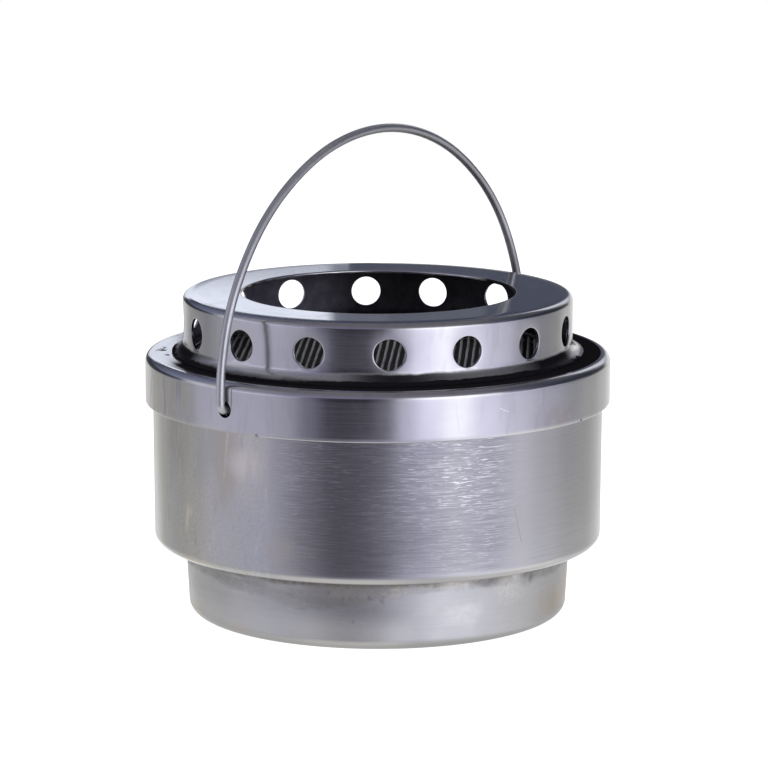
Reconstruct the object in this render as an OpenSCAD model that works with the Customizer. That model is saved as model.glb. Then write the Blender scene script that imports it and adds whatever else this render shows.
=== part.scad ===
// Wick-type alcohol spirit stove: a tapered fuel pot packed with wadding hangs in
// a brushed drum, a skirted cap clamps it, a perforated burner ring stands on the
// cap and a round wire bail hooks into the skirt.
// Millimetres, +Z up, origin on the table at the centre of the foot.
// The bail's pivot line runs along X.

/* [Fuel pot] */
// Diameter of the pot's wall just above the rounded foot
pot_foot_d = 122.5; // [118:0.5:124]
// Draft of the pot's wall, degrees from upright
pot_draft = 3.2; // [2:0.1:3.6]
// Radius of the rounded foot
pot_foot_r = 3.5; // [3:0.25:6]
// Sheet thickness of pot and drum
body_sheet = 0.8; // [0.6:0.1:1]

/* [Drum] */
// Height of the drum's underside above the table
drum_z = 23.3; // [18:0.1:28]
// Diameter of the drum at its rounded lower edge
drum_bottom_d = 144.6; // [143:0.1:145]
// Diameter of the drum under the cap
drum_top_d = 145.4; // [143.4:0.1:145.4]
// Radius of the drum's rounded lower edge
drum_edge_r = 2.75; // [1.5:0.25:4]

/* [Cap] */
// Outer diameter of the skirt
skirt_d = 150; // [149.5:0.1:152]
// Height of the skirt's lower edge
skirt_edge_z = 68.9; // [66:0.1:71]
// Height of the cap's flat top
cap_z = 84.6; // [82:0.1:88]
// Radius of the cap's shoulder
cap_edge_r = 2.5; // [1.5:0.1:3.5]
// Sheet thickness of cap and burner ring
top_sheet = 1; // [0.8:0.1:1.2]

/* [Burner ring] */
// Outer diameter of the ring's wall
ring_d = 125.6; // [122:0.1:128]
// Height of the ring above the cap's flat
ring_h = 19.3; // [18:0.1:24]
// Radius of the ring's top edge
ring_edge_r = 2.1; // [1.5:0.1:3]
// Diameter of the flame opening
opening_d = 88; // [70:0.5:95]
// Number of air holes
hole_count = 16; // [12:1:16]
// Diameter of an air hole
hole_d = 9.7; // [7:0.1:10.4]
// Height of the air holes above the cap's flat
hole_up = 9.4; // [9:0.1:10]
// Radius of the flared foot
flare_r = 3.6; // [3:0.1:4]

/* [Bail] */
// Wire diameter
wire_d = 2.8; // [2:0.1:3]
// Radius of the arch, to the wire's centre line
bail_r = 76.8; // [76.8:0.1:80]
// Straight part of each leg, from the pivot line up to the arch
bail_leg = 3.65; // [3:0.05:6]
// Height of the pivot line
pivot_z = 76; // [74.5:0.1:76.5]
// Diameter of the bail's holes in the skirt and the drum
bail_hole_d = 5; // [4.2:0.1:5.4]

/* [Screen] */
// Wire diameter of the screen; the screen is two wires thick
gauze_wire = 0.7; // [0.4:0.05:0.8]

/* [Hidden] */
$fn = 96;
e = 0.01;
far = 200;
// wall lines: radius at height z
pot_tan = tan(pot_draft);
pot_r0 = pot_foot_d / 2 - pot_foot_r * pot_tan;
drum_top_z = cap_z - top_sheet - body_sheet;
drum_tan = (drum_top_d - drum_bottom_d) / 2 / (drum_top_z - drum_z - drum_edge_r);
drum_draft = atan(drum_tan);
drum_r0 = drum_bottom_d / 2 - (drum_z + drum_edge_r) * drum_tan;
function pot_r(z) = pot_r0 + z * pot_tan;
function pot_in(z) = pot_r(z) - body_sheet / cos(pot_draft);
function drum_r(z) = drum_r0 + z * drum_tan;
cap_under = cap_z - top_sheet;
skirt_r = skirt_d / 2;
ring_r = ring_d / 2;
ring_z = cap_z + ring_h;
hole_z = cap_z + hole_up;
cap_bore_r = ring_r - 2.8;
dish_r = 47;
dish_h = 1.2;
seam_z = drum_z + body_sheet;
drum_bore_r = pot_r(drum_z) + 0.3;
flare_edge = 0.5;
// The holes are punched one at a time, so each one wanders a little
// (degrees) from the even pitch; ring_turn is how the ring was set on the cap.
ring_turn = -1.7;
hole_drift = [1, 1, -0.4, 1.4, 0.6, 3, -1, -3.2, -2, -1.5, -0.8, -0.3, 0.2, 1.2, 1.1, 1.1];
tack_angles = [8.5, 98, 189.4, 277.6];
tack_r = 1.2;
tack_z = skirt_edge_z + 0.4;
rim_sheet = 0.5;
rim_r = pot_in(cap_under - 2.8) - 0.3;
rim_low = cap_under - 2 * gauze_wire - 2 * rim_sheet - 0.2;
gauze_r = rim_r - rim_sheet - 0.1;
gauze_low = rim_low + rim_sheet + 0.1;
felt_low = rim_low - 6;
wad_a = 28;
wad_b = 52;
tip_r = 68.6;
bend_r = 2.2;

// Filled half profile of a cup: wall radius r0 at height 0, growing with the draft,
// flat floor at zb, top at zt, rounded foot of radius r.
module cup2d(r0, draft, zb, zt, r) {
    zc = zb + r;
    xc = r0 + zc * tan(draft) - r / cos(draft);
    polygon([[0, zb], [xc, zb], [xc + r * cos(draft), zc - r * sin(draft)], [r0 + zt * tan(draft), zt], [0, zt]]);
    translate([xc, zc]) circle(r = r);
}

// Filled half profile of a lid: upright wall radius w, top at zt rounded with r.
module lid2d(w, zb, zt, r) {
    polygon([[0, zb], [w, zb], [w, zt - r], [w - r, zt], [0, zt]]);
    translate([w - r, zt - r]) circle(r = r);
}

module fuel_pot() color("silver") rotate_extrude() {
    difference() {
        cup2d(pot_r0, pot_draft, 0, cap_under, pot_foot_r);
        difference() {
            cup2d(pot_r0 - body_sheet / cos(pot_draft), pot_draft, body_sheet, cap_under + 5, pot_foot_r - body_sheet);
            // the dished floor, upper face
            polygon([[0, 0], [dish_r + 1, 0], [dish_r + 1, body_sheet], [dish_r - 2, body_sheet + dish_h], [0, body_sheet + dish_h]]);
        }
        polygon([[0, -1], [dish_r, -1], [dish_r, 0], [dish_r - 3, dish_h], [0, dish_h]]);
    }
    // rim flange, clamped between the drum's top edge and the cap
    translate([pot_in(cap_under) + 0.4, drum_top_z]) square([skirt_r - top_sheet - 1.6 - pot_in(cap_under) - 0.4, body_sheet]);
}

module pot_seam_braze() color("tan") rotate_extrude()
    polygon([[pot_r(drum_z - 1.1), drum_z - 1.1], [drum_bore_r + 0.9, drum_z], [drum_bore_r, drum_z], [drum_bore_r, seam_z], [pot_r(seam_z), seam_z]]);

module lower_wadding() color("gainsboro") rotate_extrude()
    difference() {
        cup2d(pot_r0 - body_sheet / cos(pot_draft) - 0.2, pot_draft, body_sheet + 0.1, wad_a, pot_foot_r - body_sheet - 0.2);
        polygon([[0, 0], [dish_r + 1.2, 0], [dish_r + 1.2, body_sheet + 0.1], [dish_r - 1.8, body_sheet + dish_h + 0.1], [0, body_sheet + dish_h + 0.1]]);
    }

module middle_wadding() color("gainsboro")
    translate([0, 0, wad_a]) cylinder(h = wad_b - wad_a, r1 = pot_in(wad_a) - 0.2, r2 = pot_in(wad_b) - 0.2);

module upper_wadding() color("gainsboro")
    translate([0, 0, wad_b]) cylinder(h = felt_low - wad_b, r1 = pot_in(wad_b) - 0.2, r2 = pot_in(felt_low) - 0.2);

module wick_felt() color("dimgray") {
    translate([0, 0, felt_low]) cylinder(h = rim_low - felt_low, r = pot_in(felt_low) - 0.3);
    translate([0, 0, rim_low - e]) cylinder(h = rim_sheet + e, r = rim_r - 3);
}

module gauze_screen() color("gray")
    translate([0, 0, gauze_low]) cylinder(h = 2 * gauze_wire, r = gauze_r);

module gauze_rim() color("darkgray") rotate_extrude()
    difference() {
        translate([rim_r - 2.6, rim_low]) square([2.6, cap_under - rim_low]);
        translate([rim_r - 2.6 - e, rim_low + rim_sheet]) square([2.6 - rim_sheet + e, cap_under - rim_low - 2 * rim_sheet]);
    }

module drum_shell() color("lightgray") difference() {
    rotate_extrude() difference() {
        cup2d(drum_r0, drum_draft, drum_z, drum_top_z, drum_edge_r);
        cup2d(drum_r0 - body_sheet, drum_draft, drum_z + body_sheet, drum_top_z + 5, drum_edge_r - body_sheet);
        translate([0, 0]) square([drum_bore_r, drum_z + 5]);
    }
    bail_holes();
}

// The two holes that the bail's ends turn in
module bail_holes() translate([-far / 2, 0, pivot_z]) rotate([0, 90, 0]) cylinder(h = far, d = bail_hole_d);

// The plug of one tack weld, radial at the skirt's lower edge
module tack_plug(inner, outer) for (a = tack_angles) rotate([0, 0, a]) translate([inner, 0, tack_z]) rotate([0, 90, 0]) cylinder(h = outer - inner, r = tack_r);

module skirted_cap() color("whitesmoke") difference() {
    rotate_extrude() {
        difference() {
            lid2d(skirt_r, skirt_edge_z + 0.8, cap_z, cap_edge_r);
            lid2d(skirt_r - top_sheet, skirt_edge_z - 5, cap_under, cap_edge_r - top_sheet);
            square([cap_bore_r, far]);
        }
        // lower edge turned in towards the drum
        difference() {
            union() {
                translate([drum_r(skirt_edge_z) + 0.35, skirt_edge_z]) square([skirt_r - 0.8 - drum_r(skirt_edge_z) - 0.35, top_sheet]);
                translate([skirt_r - 0.8, skirt_edge_z + 0.8]) circle(r = 0.8);
            }
            square([drum_r(skirt_edge_z) + 0.35, far]);
        }
    }
    bail_holes();
    tack_plug(drum_r(tack_z) - 3, skirt_r + 3);
}

module cap_tack_welds() color("gray") difference() {
    tack_plug(drum_r(tack_z) - 0.5, skirt_r - 0.25);
    translate([0, 0, skirt_edge_z - 5]) cylinder(h = 10, r1 = drum_r(skirt_edge_z - 5), r2 = drum_r(skirt_edge_z + 5), $fn = 720);
}

module burner_ring() color("whitesmoke") difference() {
    rotate_extrude() {
        difference() {
            lid2d(ring_r, cap_z + flare_edge + flare_r, ring_z, ring_edge_r);
            lid2d(ring_r - top_sheet, cap_z, ring_z - top_sheet, ring_edge_r - top_sheet);
            square([opening_d / 2, far]);
        }
        // flared foot
        difference() {
            union() {
                intersection() {
                    translate([ring_r - top_sheet, cap_z]) square([flare_r + flare_edge, flare_r + flare_edge]);
                    translate([ring_r - top_sheet + flare_r + flare_edge, cap_z + flare_edge + flare_r]) circle(r = flare_r + flare_edge);
                }
                translate([ring_r - top_sheet + flare_r + flare_edge, cap_z]) square([top_sheet - flare_edge, flare_edge * 2]);
            }
            translate([ring_r + flare_r, cap_z + flare_edge + flare_r]) circle(r = flare_r);
        }
    }
    for (i = [0 : hole_count - 1])
        rotate([0, 0, ring_turn + i * 360 / hole_count + hole_drift[i]])
            translate([ring_r - 6, 0, hole_z]) rotate([0, 90, 0]) cylinder(h = 12, d = hole_d);
}

module bail_handle() color("dimgray") translate([0, 0, pivot_z]) {
    // arch
    translate([0, 0, bail_leg]) rotate([90, 0, 0]) rotate_extrude(angle = 180) translate([bail_r, 0]) circle(d = wire_d);
    for (s = [0, 180]) rotate([0, 0, s]) {
        // leg, bend and the end that turns in the skirt
        translate([bail_r, 0, bend_r]) cylinder(h = bail_leg - bend_r, d = wire_d);
        translate([bail_r - bend_r, 0, bend_r]) rotate([90, 0, 0]) rotate([0, 0, -90]) rotate_extrude(angle = 90) translate([bend_r, 0]) circle(d = wire_d);
        translate([tip_r, 0, 0]) rotate([0, 90, 0]) cylinder(h = bail_r - bend_r - tip_r, d = wire_d);
    }
}

fuel_pot();
pot_seam_braze();
lower_wadding();
middle_wadding();
upper_wadding();
wick_felt();
gauze_screen();
gauze_rim();
drum_shell();
skirted_cap();
cap_tack_welds();
burner_ring();
bail_handle();
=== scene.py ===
import math

import bmesh
import bpy
import numpy as np
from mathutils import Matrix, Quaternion, Vector

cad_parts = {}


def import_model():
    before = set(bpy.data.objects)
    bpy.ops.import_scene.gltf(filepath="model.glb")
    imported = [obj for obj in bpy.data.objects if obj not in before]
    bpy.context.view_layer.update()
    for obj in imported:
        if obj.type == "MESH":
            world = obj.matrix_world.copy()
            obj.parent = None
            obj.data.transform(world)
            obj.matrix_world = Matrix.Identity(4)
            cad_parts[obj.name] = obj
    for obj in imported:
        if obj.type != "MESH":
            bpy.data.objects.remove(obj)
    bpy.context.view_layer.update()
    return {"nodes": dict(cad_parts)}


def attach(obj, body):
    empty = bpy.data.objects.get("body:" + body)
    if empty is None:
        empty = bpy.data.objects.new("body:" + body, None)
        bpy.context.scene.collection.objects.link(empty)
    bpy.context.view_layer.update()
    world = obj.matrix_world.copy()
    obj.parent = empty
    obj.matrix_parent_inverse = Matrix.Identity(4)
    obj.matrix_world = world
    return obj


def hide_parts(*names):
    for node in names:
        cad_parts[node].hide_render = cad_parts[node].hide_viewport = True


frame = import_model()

MM = 0.001
RNG = np.random.default_rng(7)

# ---------------------------------------------------------------- dimensions, mm, as in the CAD
PSI = math.radians(39.2)          # the view runs along this direction in the XY plane
POT_DRAFT = math.radians(3.2)
POT_FOOT_R, BODY_T = 3.5, 0.8
POT_R0 = 61.25 - POT_FOOT_R * math.tan(POT_DRAFT)
DRUM_Z, DRUM_EDGE_R, DRUM_TOP_Z = 23.3, 2.75, 82.8
DRUM_TAN = 0.4 / (DRUM_TOP_Z - DRUM_Z - DRUM_EDGE_R)
DRUM_R0 = 72.3 - (DRUM_Z + DRUM_EDGE_R) * DRUM_TAN
SKIRT_R, SKIRT_Z, CAP_Z, CAP_T, CAP_EDGE_R = 75.0, 68.9, 84.6, 1.0, 2.5
CAP_UNDER = CAP_Z - CAP_T
RING_R, RING_Z, RING_EDGE_R, OPEN_R = 62.8, 103.9, 2.1, 44.0
FLARE_R, FLARE_T = 3.6, 0.5
HOLE_R, HOLE_Z = 4.85, 94.0
RING_TURN = -1.7
DRIFT = [1, 1, -0.4, 1.4, 0.6, 3, -1, -3.2, -2, -1.5, -0.8, -0.3, 0.2, 1.2, 1.1, 1.1]
WIRE_R, BAIL_R, BAIL_LEG, PIVOT_Z, TIP_R, BEND_R = 1.4, 76.8, 3.65, 76.0, 68.6, 2.2
BAIL_HOLE_R = 2.5
GAUZE_WIRE = 0.7
RIM_LOW = CAP_UNDER - 2 * GAUZE_WIRE - 1.2
GAUZE_MID = RIM_LOW + 0.6 + GAUZE_WIRE


def pot_r(z):
    return POT_R0 + z * math.tan(POT_DRAFT)


def pot_in(z):
    return pot_r(z) - BODY_T / math.cos(POT_DRAFT)


def drum_r(z):
    return DRUM_R0 + z * DRUM_TAN


# ---------------------------------------------------------------- mesh building
class Build:
    """Collects grids of points (mm) and turns them into one welded mesh object (m)."""

    def __init__(self):
        self.v, self.f, self.m, self.n = [], [], [], 0

    def add(self, pts, faces, mat=0):
        pts = np.asarray(pts, float).reshape(-1, 3)
        self.v.append(pts)
        self.f.append(np.asarray(faces, int) + self.n)
        self.m.append(np.full(len(faces), mat))
        self.n += len(pts)

    def grid(self, p, mat=0, wrap_u=False, wrap_v=False):
        nu, nv = p.shape[:2]
        iu = np.arange(nu if wrap_u else nu - 1)
        iv = np.arange(nv if wrap_v else nv - 1)
        a, b = np.meshgrid(iu, iv, indexing="ij")
        a, b = a.ravel(), b.ravel()
        a1, b1 = (a + 1) % nu, (b + 1) % nv
        self.add(p, np.stack([a * nv + b, a1 * nv + b, a1 * nv + b1, a * nv + b1], 1), mat)

    def lathe(self, prof, thetas, mat=0, closed=False):
        prof = np.asarray(prof, float)
        c, s = np.cos(thetas), np.sin(thetas)
        p = np.empty((len(thetas), len(prof), 3))
        p[..., 0] = c[:, None] * prof[None, :, 0]
        p[..., 1] = s[:, None] * prof[None, :, 0]
        p[..., 2] = prof[None, :, 1]
        self.grid(p, mat, wrap_u=True, wrap_v=closed)

    def band(self, radius, zlo, zhi, nside, segs, mat=0):
        """A wall of revolution from zlo to zhi. segs are (a, b, n) plain stretches or (a, b, n, hole angle, hole z, hole r)."""
        zs = np.linspace(zlo, zhi, nside + 1)
        for seg in segs:
            a, b, n = seg[:3]
            th = np.linspace(a, b, n + 1)
            if len(seg) == 3:
                p = np.empty((n + 1, nside + 1, 3))
                r = np.array([radius(z) for z in zs])
                p[..., 0] = np.cos(th)[:, None] * r
                p[..., 1] = np.sin(th)[:, None] * r
                p[..., 2] = zs
                self.grid(p, mat)
                continue
            hc, hz, hr = seg[3:]
            per = [(t, zlo) for t in th[:-1]] + [(b, z) for z in zs[:-1]]
            per += [(t, zhi) for t in th[:0:-1]] + [(a, z) for z in zs[:0:-1]]
            per = np.array(per)
            rm = radius(hz)
            ang = np.arctan2(per[:, 1] - hz, (per[:, 0] - hc) * rm)
            cz = hz + hr * np.sin(ang)
            ct = hc + np.arcsin(hr * np.cos(ang) / rm)
            rings = []
            for k in (0.0, 0.05, 0.16, 0.36, 0.66, 1.0):
                t = ct + (per[:, 0] - ct) * k
                z = cz + (per[:, 1] - cz) * k
                r = np.array([radius(q) for q in z])
                rings.append(np.stack([np.cos(t) * r, np.sin(t) * r, z], 1))
            self.grid(np.array(rings), mat, wrap_v=True)

    def hole(self, r_out, r_in, seg, zlo, zhi, nside, zlo_in, zhi_in, bevel, mat=0, mat_in=0):
        """The wall of a radial hole between the outer and the inner band, with eased edges."""
        a, b, n, hc, hz, hr = seg

        def angles(radius, lo, hi):
            th, zs = np.linspace(a, b, n + 1), np.linspace(lo, hi, nside + 1)
            per = [(t, lo) for t in th[:-1]] + [(b, z) for z in zs[:-1]]
            per += [(t, hi) for t in th[:0:-1]] + [(a, z) for z in zs[:0:-1]]
            per = np.array(per)
            return np.arctan2(per[:, 1] - hz, (per[:, 0] - hc) * radius(hz))

        ao, ai = angles(r_out, zlo, zhi), angles(r_in, zlo_in, zhi_in)
        true_r = hr - bevel
        rows = []
        for k in np.linspace(0, 1, 4):           # outer eased edge
            w = k * math.pi / 2
            rows.append((ao, true_r + bevel * (1 - math.sin(w)), r_out, -bevel * (1 - math.cos(w))))
        for k in np.linspace(0, 1, 4)[::-1]:     # inner eased edge
            w = k * math.pi / 2
            rows.append((ai, true_r + bevel * (1 - math.sin(w)), r_in, bevel * (1 - math.cos(w))))
        pts = []
        for ang, rho, radius, shift in rows:
            y, z = rho * np.cos(ang), hz + rho * np.sin(ang)
            rr = np.array([radius(q) for q in z])
            x = np.sqrt(rr * rr - y * y) + shift
            pts.append(np.stack([x * math.cos(hc) - y * math.sin(hc), x * math.sin(hc) + y * math.cos(hc), z], 1))
        pts = np.array(pts)
        self.grid(pts[:6], mat, wrap_v=True)
        self.grid(pts[5:], mat_in, wrap_v=True)

    def obj(self, name, mats, warp=None, sharp=50, weld=2e-6):
        v = np.concatenate(self.v)
        if warp is not None:
            v = warp(v)
        f, m = np.concatenate(self.f), np.concatenate(self.m)
        me = bpy.data.meshes.new(name)
        me.from_pydata((v * MM).tolist(), [], f.tolist())
        me.polygons.foreach_set("material_index", m.astype(np.int32))
        bm = bmesh.new()
        bm.from_mesh(me)
        bmesh.ops.remove_doubles(bm, verts=bm.verts, dist=weld)
        bmesh.ops.dissolve_degenerate(bm, dist=1e-9, edges=bm.edges)
        bmesh.ops.recalc_face_normals(bm, faces=bm.faces)
        bm.to_mesh(me)
        bm.free()
        return finish_mesh(me, name, mats, sharp)


def finish_mesh(me, name, mats, sharp=50):
    for mt in mats:
        me.materials.append(mt)
    me.polygons.foreach_set("use_smooth", np.ones(len(me.polygons), bool))
    me.set_sharp_from_angle(angle=math.radians(sharp))
    me.update()
    o = bpy.data.objects.new(name, me)
    bpy.context.scene.collection.objects.link(o)
    return o


def arc(cx, cz, r, a0, a1, n):
    return [(cx + r * math.cos(math.radians(a)), cz + r * math.sin(math.radians(a))) for a in np.linspace(a0, a1, n + 1)]


def line(p, q, n=1, ends=True):
    """Points from p to q; with ends, a short stretch at either end keeps the shading of the flat flat."""
    p, q = np.array(p, float), np.array(q, float)
    ln = np.linalg.norm(q - p)
    ts = list(np.linspace(0, 1, n + 1))
    if ends and ln > 1.2:
        ts += [0.25 / ln, 1 - 0.25 / ln]
    return [tuple(p + (q - p) * t) for t in sorted(set(ts))]


def waves(count, amp, seed, k_lo=2, k_hi=7, z_len=(25, 60)):
    """A slight unevenness of a pressed wall: a few long waves round and up the wall."""
    g = np.random.default_rng(seed)
    terms = [(int(g.integers(k_lo, k_hi + 1)), g.uniform(*z_len), g.uniform(0, 6.28), g.uniform(0, 6.28), g.uniform(0.4, 1)) for _ in range(count)]
    total = sum(t[4] for t in terms)

    def warp(v):
        th, r = np.arctan2(v[:, 1], v[:, 0]), np.hypot(v[:, 0], v[:, 1])
        d = sum(w * np.sin(k * th + a) * np.sin(v[:, 2] * 6.283 / ln + b) for k, ln, a, b, w in terms) * amp / total
        out = v.copy()
        s = (r + d) / np.maximum(r, 1e-9)
        out[:, 0] *= s
        out[:, 1] *= s
        return out

    return warp


# ---------------------------------------------------------------- material helpers
class Mat:
    def __init__(self, name):
        self.m = bpy.data.materials.new(name)
        self.m.use_nodes = True
        self.t = self.m.node_tree
        self.t.nodes.clear()
        self.out = self.t.nodes.new("ShaderNodeOutputMaterial")
        self.b = self.t.nodes.new("ShaderNodeBsdfPrincipled")
        self.t.links.new(self.b.outputs[0], self.out.inputs[0])
        self._xyz = self._phi = None

    def n(self, kind, **kw):
        node = self.t.nodes.new(kind)
        for k, v in kw.items():
            setattr(node, k, v)
        return node

    def put(self, sock, val):
        if isinstance(val, bpy.types.NodeSocket):
            self.t.links.new(val, sock)
        elif isinstance(val, (tuple, list)) and sock.type == "RGBA" and len(val) == 3:
            sock.default_value = (*val, 1.0)
        else:
            sock.default_value = val

    def math(self, op, a, b=None, c=None, clamp=False):
        node = self.n("ShaderNodeMath", operation=op, use_clamp=clamp)
        self.put(node.inputs[0], a)
        if b is not None:
            self.put(node.inputs[1], b)
        if c is not None:
            self.put(node.inputs[2], c)
        return node.outputs[0]

    def xyz(self):
        if self._xyz is None:
            tc = self.n("ShaderNodeTexCoord")
            sep = self.n("ShaderNodeSeparateXYZ")
            self.t.links.new(tc.outputs["Object"], sep.inputs[0])
            x, y, z = sep.outputs
            r = self.math("SQRT", self.math("ADD", self.math("MULTIPLY", x, x), self.math("MULTIPLY", y, y)))
            self._xyz = (tc.outputs["Object"], x, y, z, r)
        return self._xyz

    def vec(self, x, y, z):
        node = self.n("ShaderNodeCombineXYZ")
        for s, v in zip(node.inputs, (x, y, z)):
            self.put(s, v)
        return node.outputs[0]

    def lathe_vec(self, along, across):
        """Coordinates drawn out round the axis: along and across are the sizes (mm) of a mark."""
        _, x, y, z, r = self.xyz()
        u = 1000 / along
        return self.vec(self.math("MULTIPLY", x, u), self.math("MULTIPLY", y, u), self.math("MULTIPLY", self.math("SUBTRACT", r, z), 1000 / across))

    def wall_vec(self, along, across):
        """As lathe_vec, for an upright wall: across runs up the wall only."""
        _, x, y, z, r = self.xyz()
        u = 1000 / along
        return self.vec(self.math("MULTIPLY", x, u), self.math("MULTIPLY", y, u), self.math("MULTIPLY", z, 1000 / across))

    def phi(self):
        """Degrees round the axis, to the right of the side that faces the view, and the height in mm."""
        if self._phi is None:
            _, x, y, z, r = self.xyz()
            c, s = math.cos(PSI), math.sin(PSI)
            right = self.math("SUBTRACT", self.math("MULTIPLY", x, s), self.math("MULTIPLY", y, c))
            near = self.math("MULTIPLY", self.math("ADD", self.math("MULTIPLY", x, c), self.math("MULTIPLY", y, s)), -1.0)
            self._phi = (self.math("MULTIPLY", self.math("ARCTAN2", right, near), 180 / math.pi), self.math("MULTIPLY", z, 1000.0))
        return self._phi

    def patch(self, p0, z0, hp, hz, inner=0.2, wobble=None):
        """1 at an angle and a height on a wall, falling to 0 at hp degrees and hz mm from there."""
        p, z = self.phi()
        a = self.math("DIVIDE", self.math("SUBTRACT", p, p0), hp)
        b = self.math("DIVIDE", self.math("SUBTRACT", z, z0), hz)
        d = self.math("SQRT", self.math("ADD", self.math("MULTIPLY", a, a), self.math("MULTIPLY", b, b)))
        if wobble is not None:
            d = self.math("ADD", d, wobble)
        return self.range(d, inner, 1.0, 1.0, 0.0)

    def mark(self, a, b, width, soft=0.3):
        """1 along a thin straight scratch from a to b (mm)."""
        a, b = Vector(a) * MM, Vector(b) * MM
        ab = b - a
        sub = self.n("ShaderNodeVectorMath", operation="SUBTRACT")
        self.put(sub.inputs[0], self.xyz()[0])
        sub.inputs[1].default_value = a
        dot = self.n("ShaderNodeVectorMath", operation="DOT_PRODUCT")
        self.put(dot.inputs[0], sub.outputs[0])
        dot.inputs[1].default_value = ab / ab.length_squared
        t = self.math("MINIMUM", self.math("MAXIMUM", dot.outputs["Value"], 0.0), 1.0)
        sca = self.n("ShaderNodeVectorMath", operation="SCALE")
        sca.inputs[0].default_value = ab
        self.put(sca.inputs["Scale"], t)
        off = self.n("ShaderNodeVectorMath", operation="DISTANCE")
        self.put(off.inputs[0], sub.outputs[0])
        self.put(off.inputs[1], sca.outputs[0])
        return self.range(off.outputs["Value"], width * MM * soft, width * MM, 1.0, 0.0)

    def tones(self, v, lo, hi, stops):
        """A row of tones laid along v from lo to hi."""
        node = self.n("ShaderNodeValToRGB")
        node.color_ramp.interpolation = "B_SPLINE"
        el = node.color_ramp.elements
        while len(el) > 1:
            el.remove(el[-1])
        for i, (q, c) in enumerate(stops):
            e = el[0] if i == 0 else el.new((q - lo) / (hi - lo))
            e.position = (q - lo) / (hi - lo)
            e.color = (*c, 1)
        self.put(node.inputs[0], self.range(v, lo, hi, 0.0, 1.0, False))
        return node.outputs[0]

    def noise(self, vec=None, scale=1.0, detail=2.0, rough=0.5, dist=0.0):
        node = self.n("ShaderNodeTexNoise")
        self.put(node.inputs["Vector"], vec if vec is not None else self.xyz()[0])
        node.inputs["Scale"].default_value = scale
        node.inputs["Detail"].default_value = detail
        node.inputs["Roughness"].default_value = rough
        node.inputs["Distortion"].default_value = dist
        return node.outputs[0]

    def range(self, v, a, b, c, d, smooth=True):
        node = self.n("ShaderNodeMapRange", interpolation_type="SMOOTHSTEP" if smooth else "LINEAR")
        self.put(node.inputs[0], v)
        for i, q in zip((1, 2, 3, 4), (a, b, c, d)):
            self.put(node.inputs[i], q)
        return node.outputs[0]

    def mix(self, fac, a, b, mode="MIX"):
        node = self.n("ShaderNodeMix", data_type="RGBA", blend_type=mode)
        self.put(node.inputs[0], fac)
        self.put(node.inputs[6], a)
        self.put(node.inputs[7], b)
        return node.outputs[2]

    def spot(self, centre_mm, radius_mm, stretch=(1, 1, 1), grow=0.0):
        """1 at a point on the object, falling to 0 at the radius."""
        sub = self.n("ShaderNodeVectorMath", operation="SUBTRACT")
        self.put(sub.inputs[0], self.xyz()[0])
        sub.inputs[1].default_value = [c * MM for c in centre_mm]
        mul = self.n("ShaderNodeVectorMath", operation="MULTIPLY")
        self.put(mul.inputs[0], sub.outputs[0])
        mul.inputs[1].default_value = stretch
        ln = self.n("ShaderNodeVectorMath", operation="LENGTH")
        self.put(ln.inputs[0], mul.outputs[0])
        return self.range(ln.outputs["Value"], radius_mm * MM * grow, radius_mm * MM, 1.0, 0.0)

    def bump(self, height, distance_mm, strength=1.0, under=None):
        node = self.n("ShaderNodeBump")
        node.inputs["Strength"].default_value = strength
        node.inputs["Distance"].default_value = distance_mm * MM
        self.put(node.inputs["Height"], height)
        if under is not None:
            self.put(node.inputs["Normal"], under)
        return node.outputs[0]

    def around(self, amount):
        """Turned finish: the shine is drawn out across the turning marks."""
        self.b.inputs["Anisotropic"].default_value = amount
        self.b.inputs["Anisotropic Rotation"].default_value = 0.25
        tan = self.n("ShaderNodeTangent", direction_type="RADIAL", axis="Z")
        self.put(self.b.inputs["Tangent"], tan.outputs[0])

    def done(self, colour, rough, normal=None, metal=1.0):
        self.put(self.b.inputs["Base Color"], colour)
        self.put(self.b.inputs["Roughness"], rough)
        self.put(self.b.inputs["Metallic"], metal)
        if normal is not None:
            self.put(self.b.inputs["Normal"], normal)
        return self.m


def on_wall(phi_deg, radius, z):
    """A point on the outside, phi degrees to the right of the side that faces the view."""
    a = math.radians(180 + phi_deg) + PSI
    return (radius * math.cos(a), radius * math.sin(a), z)


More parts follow.
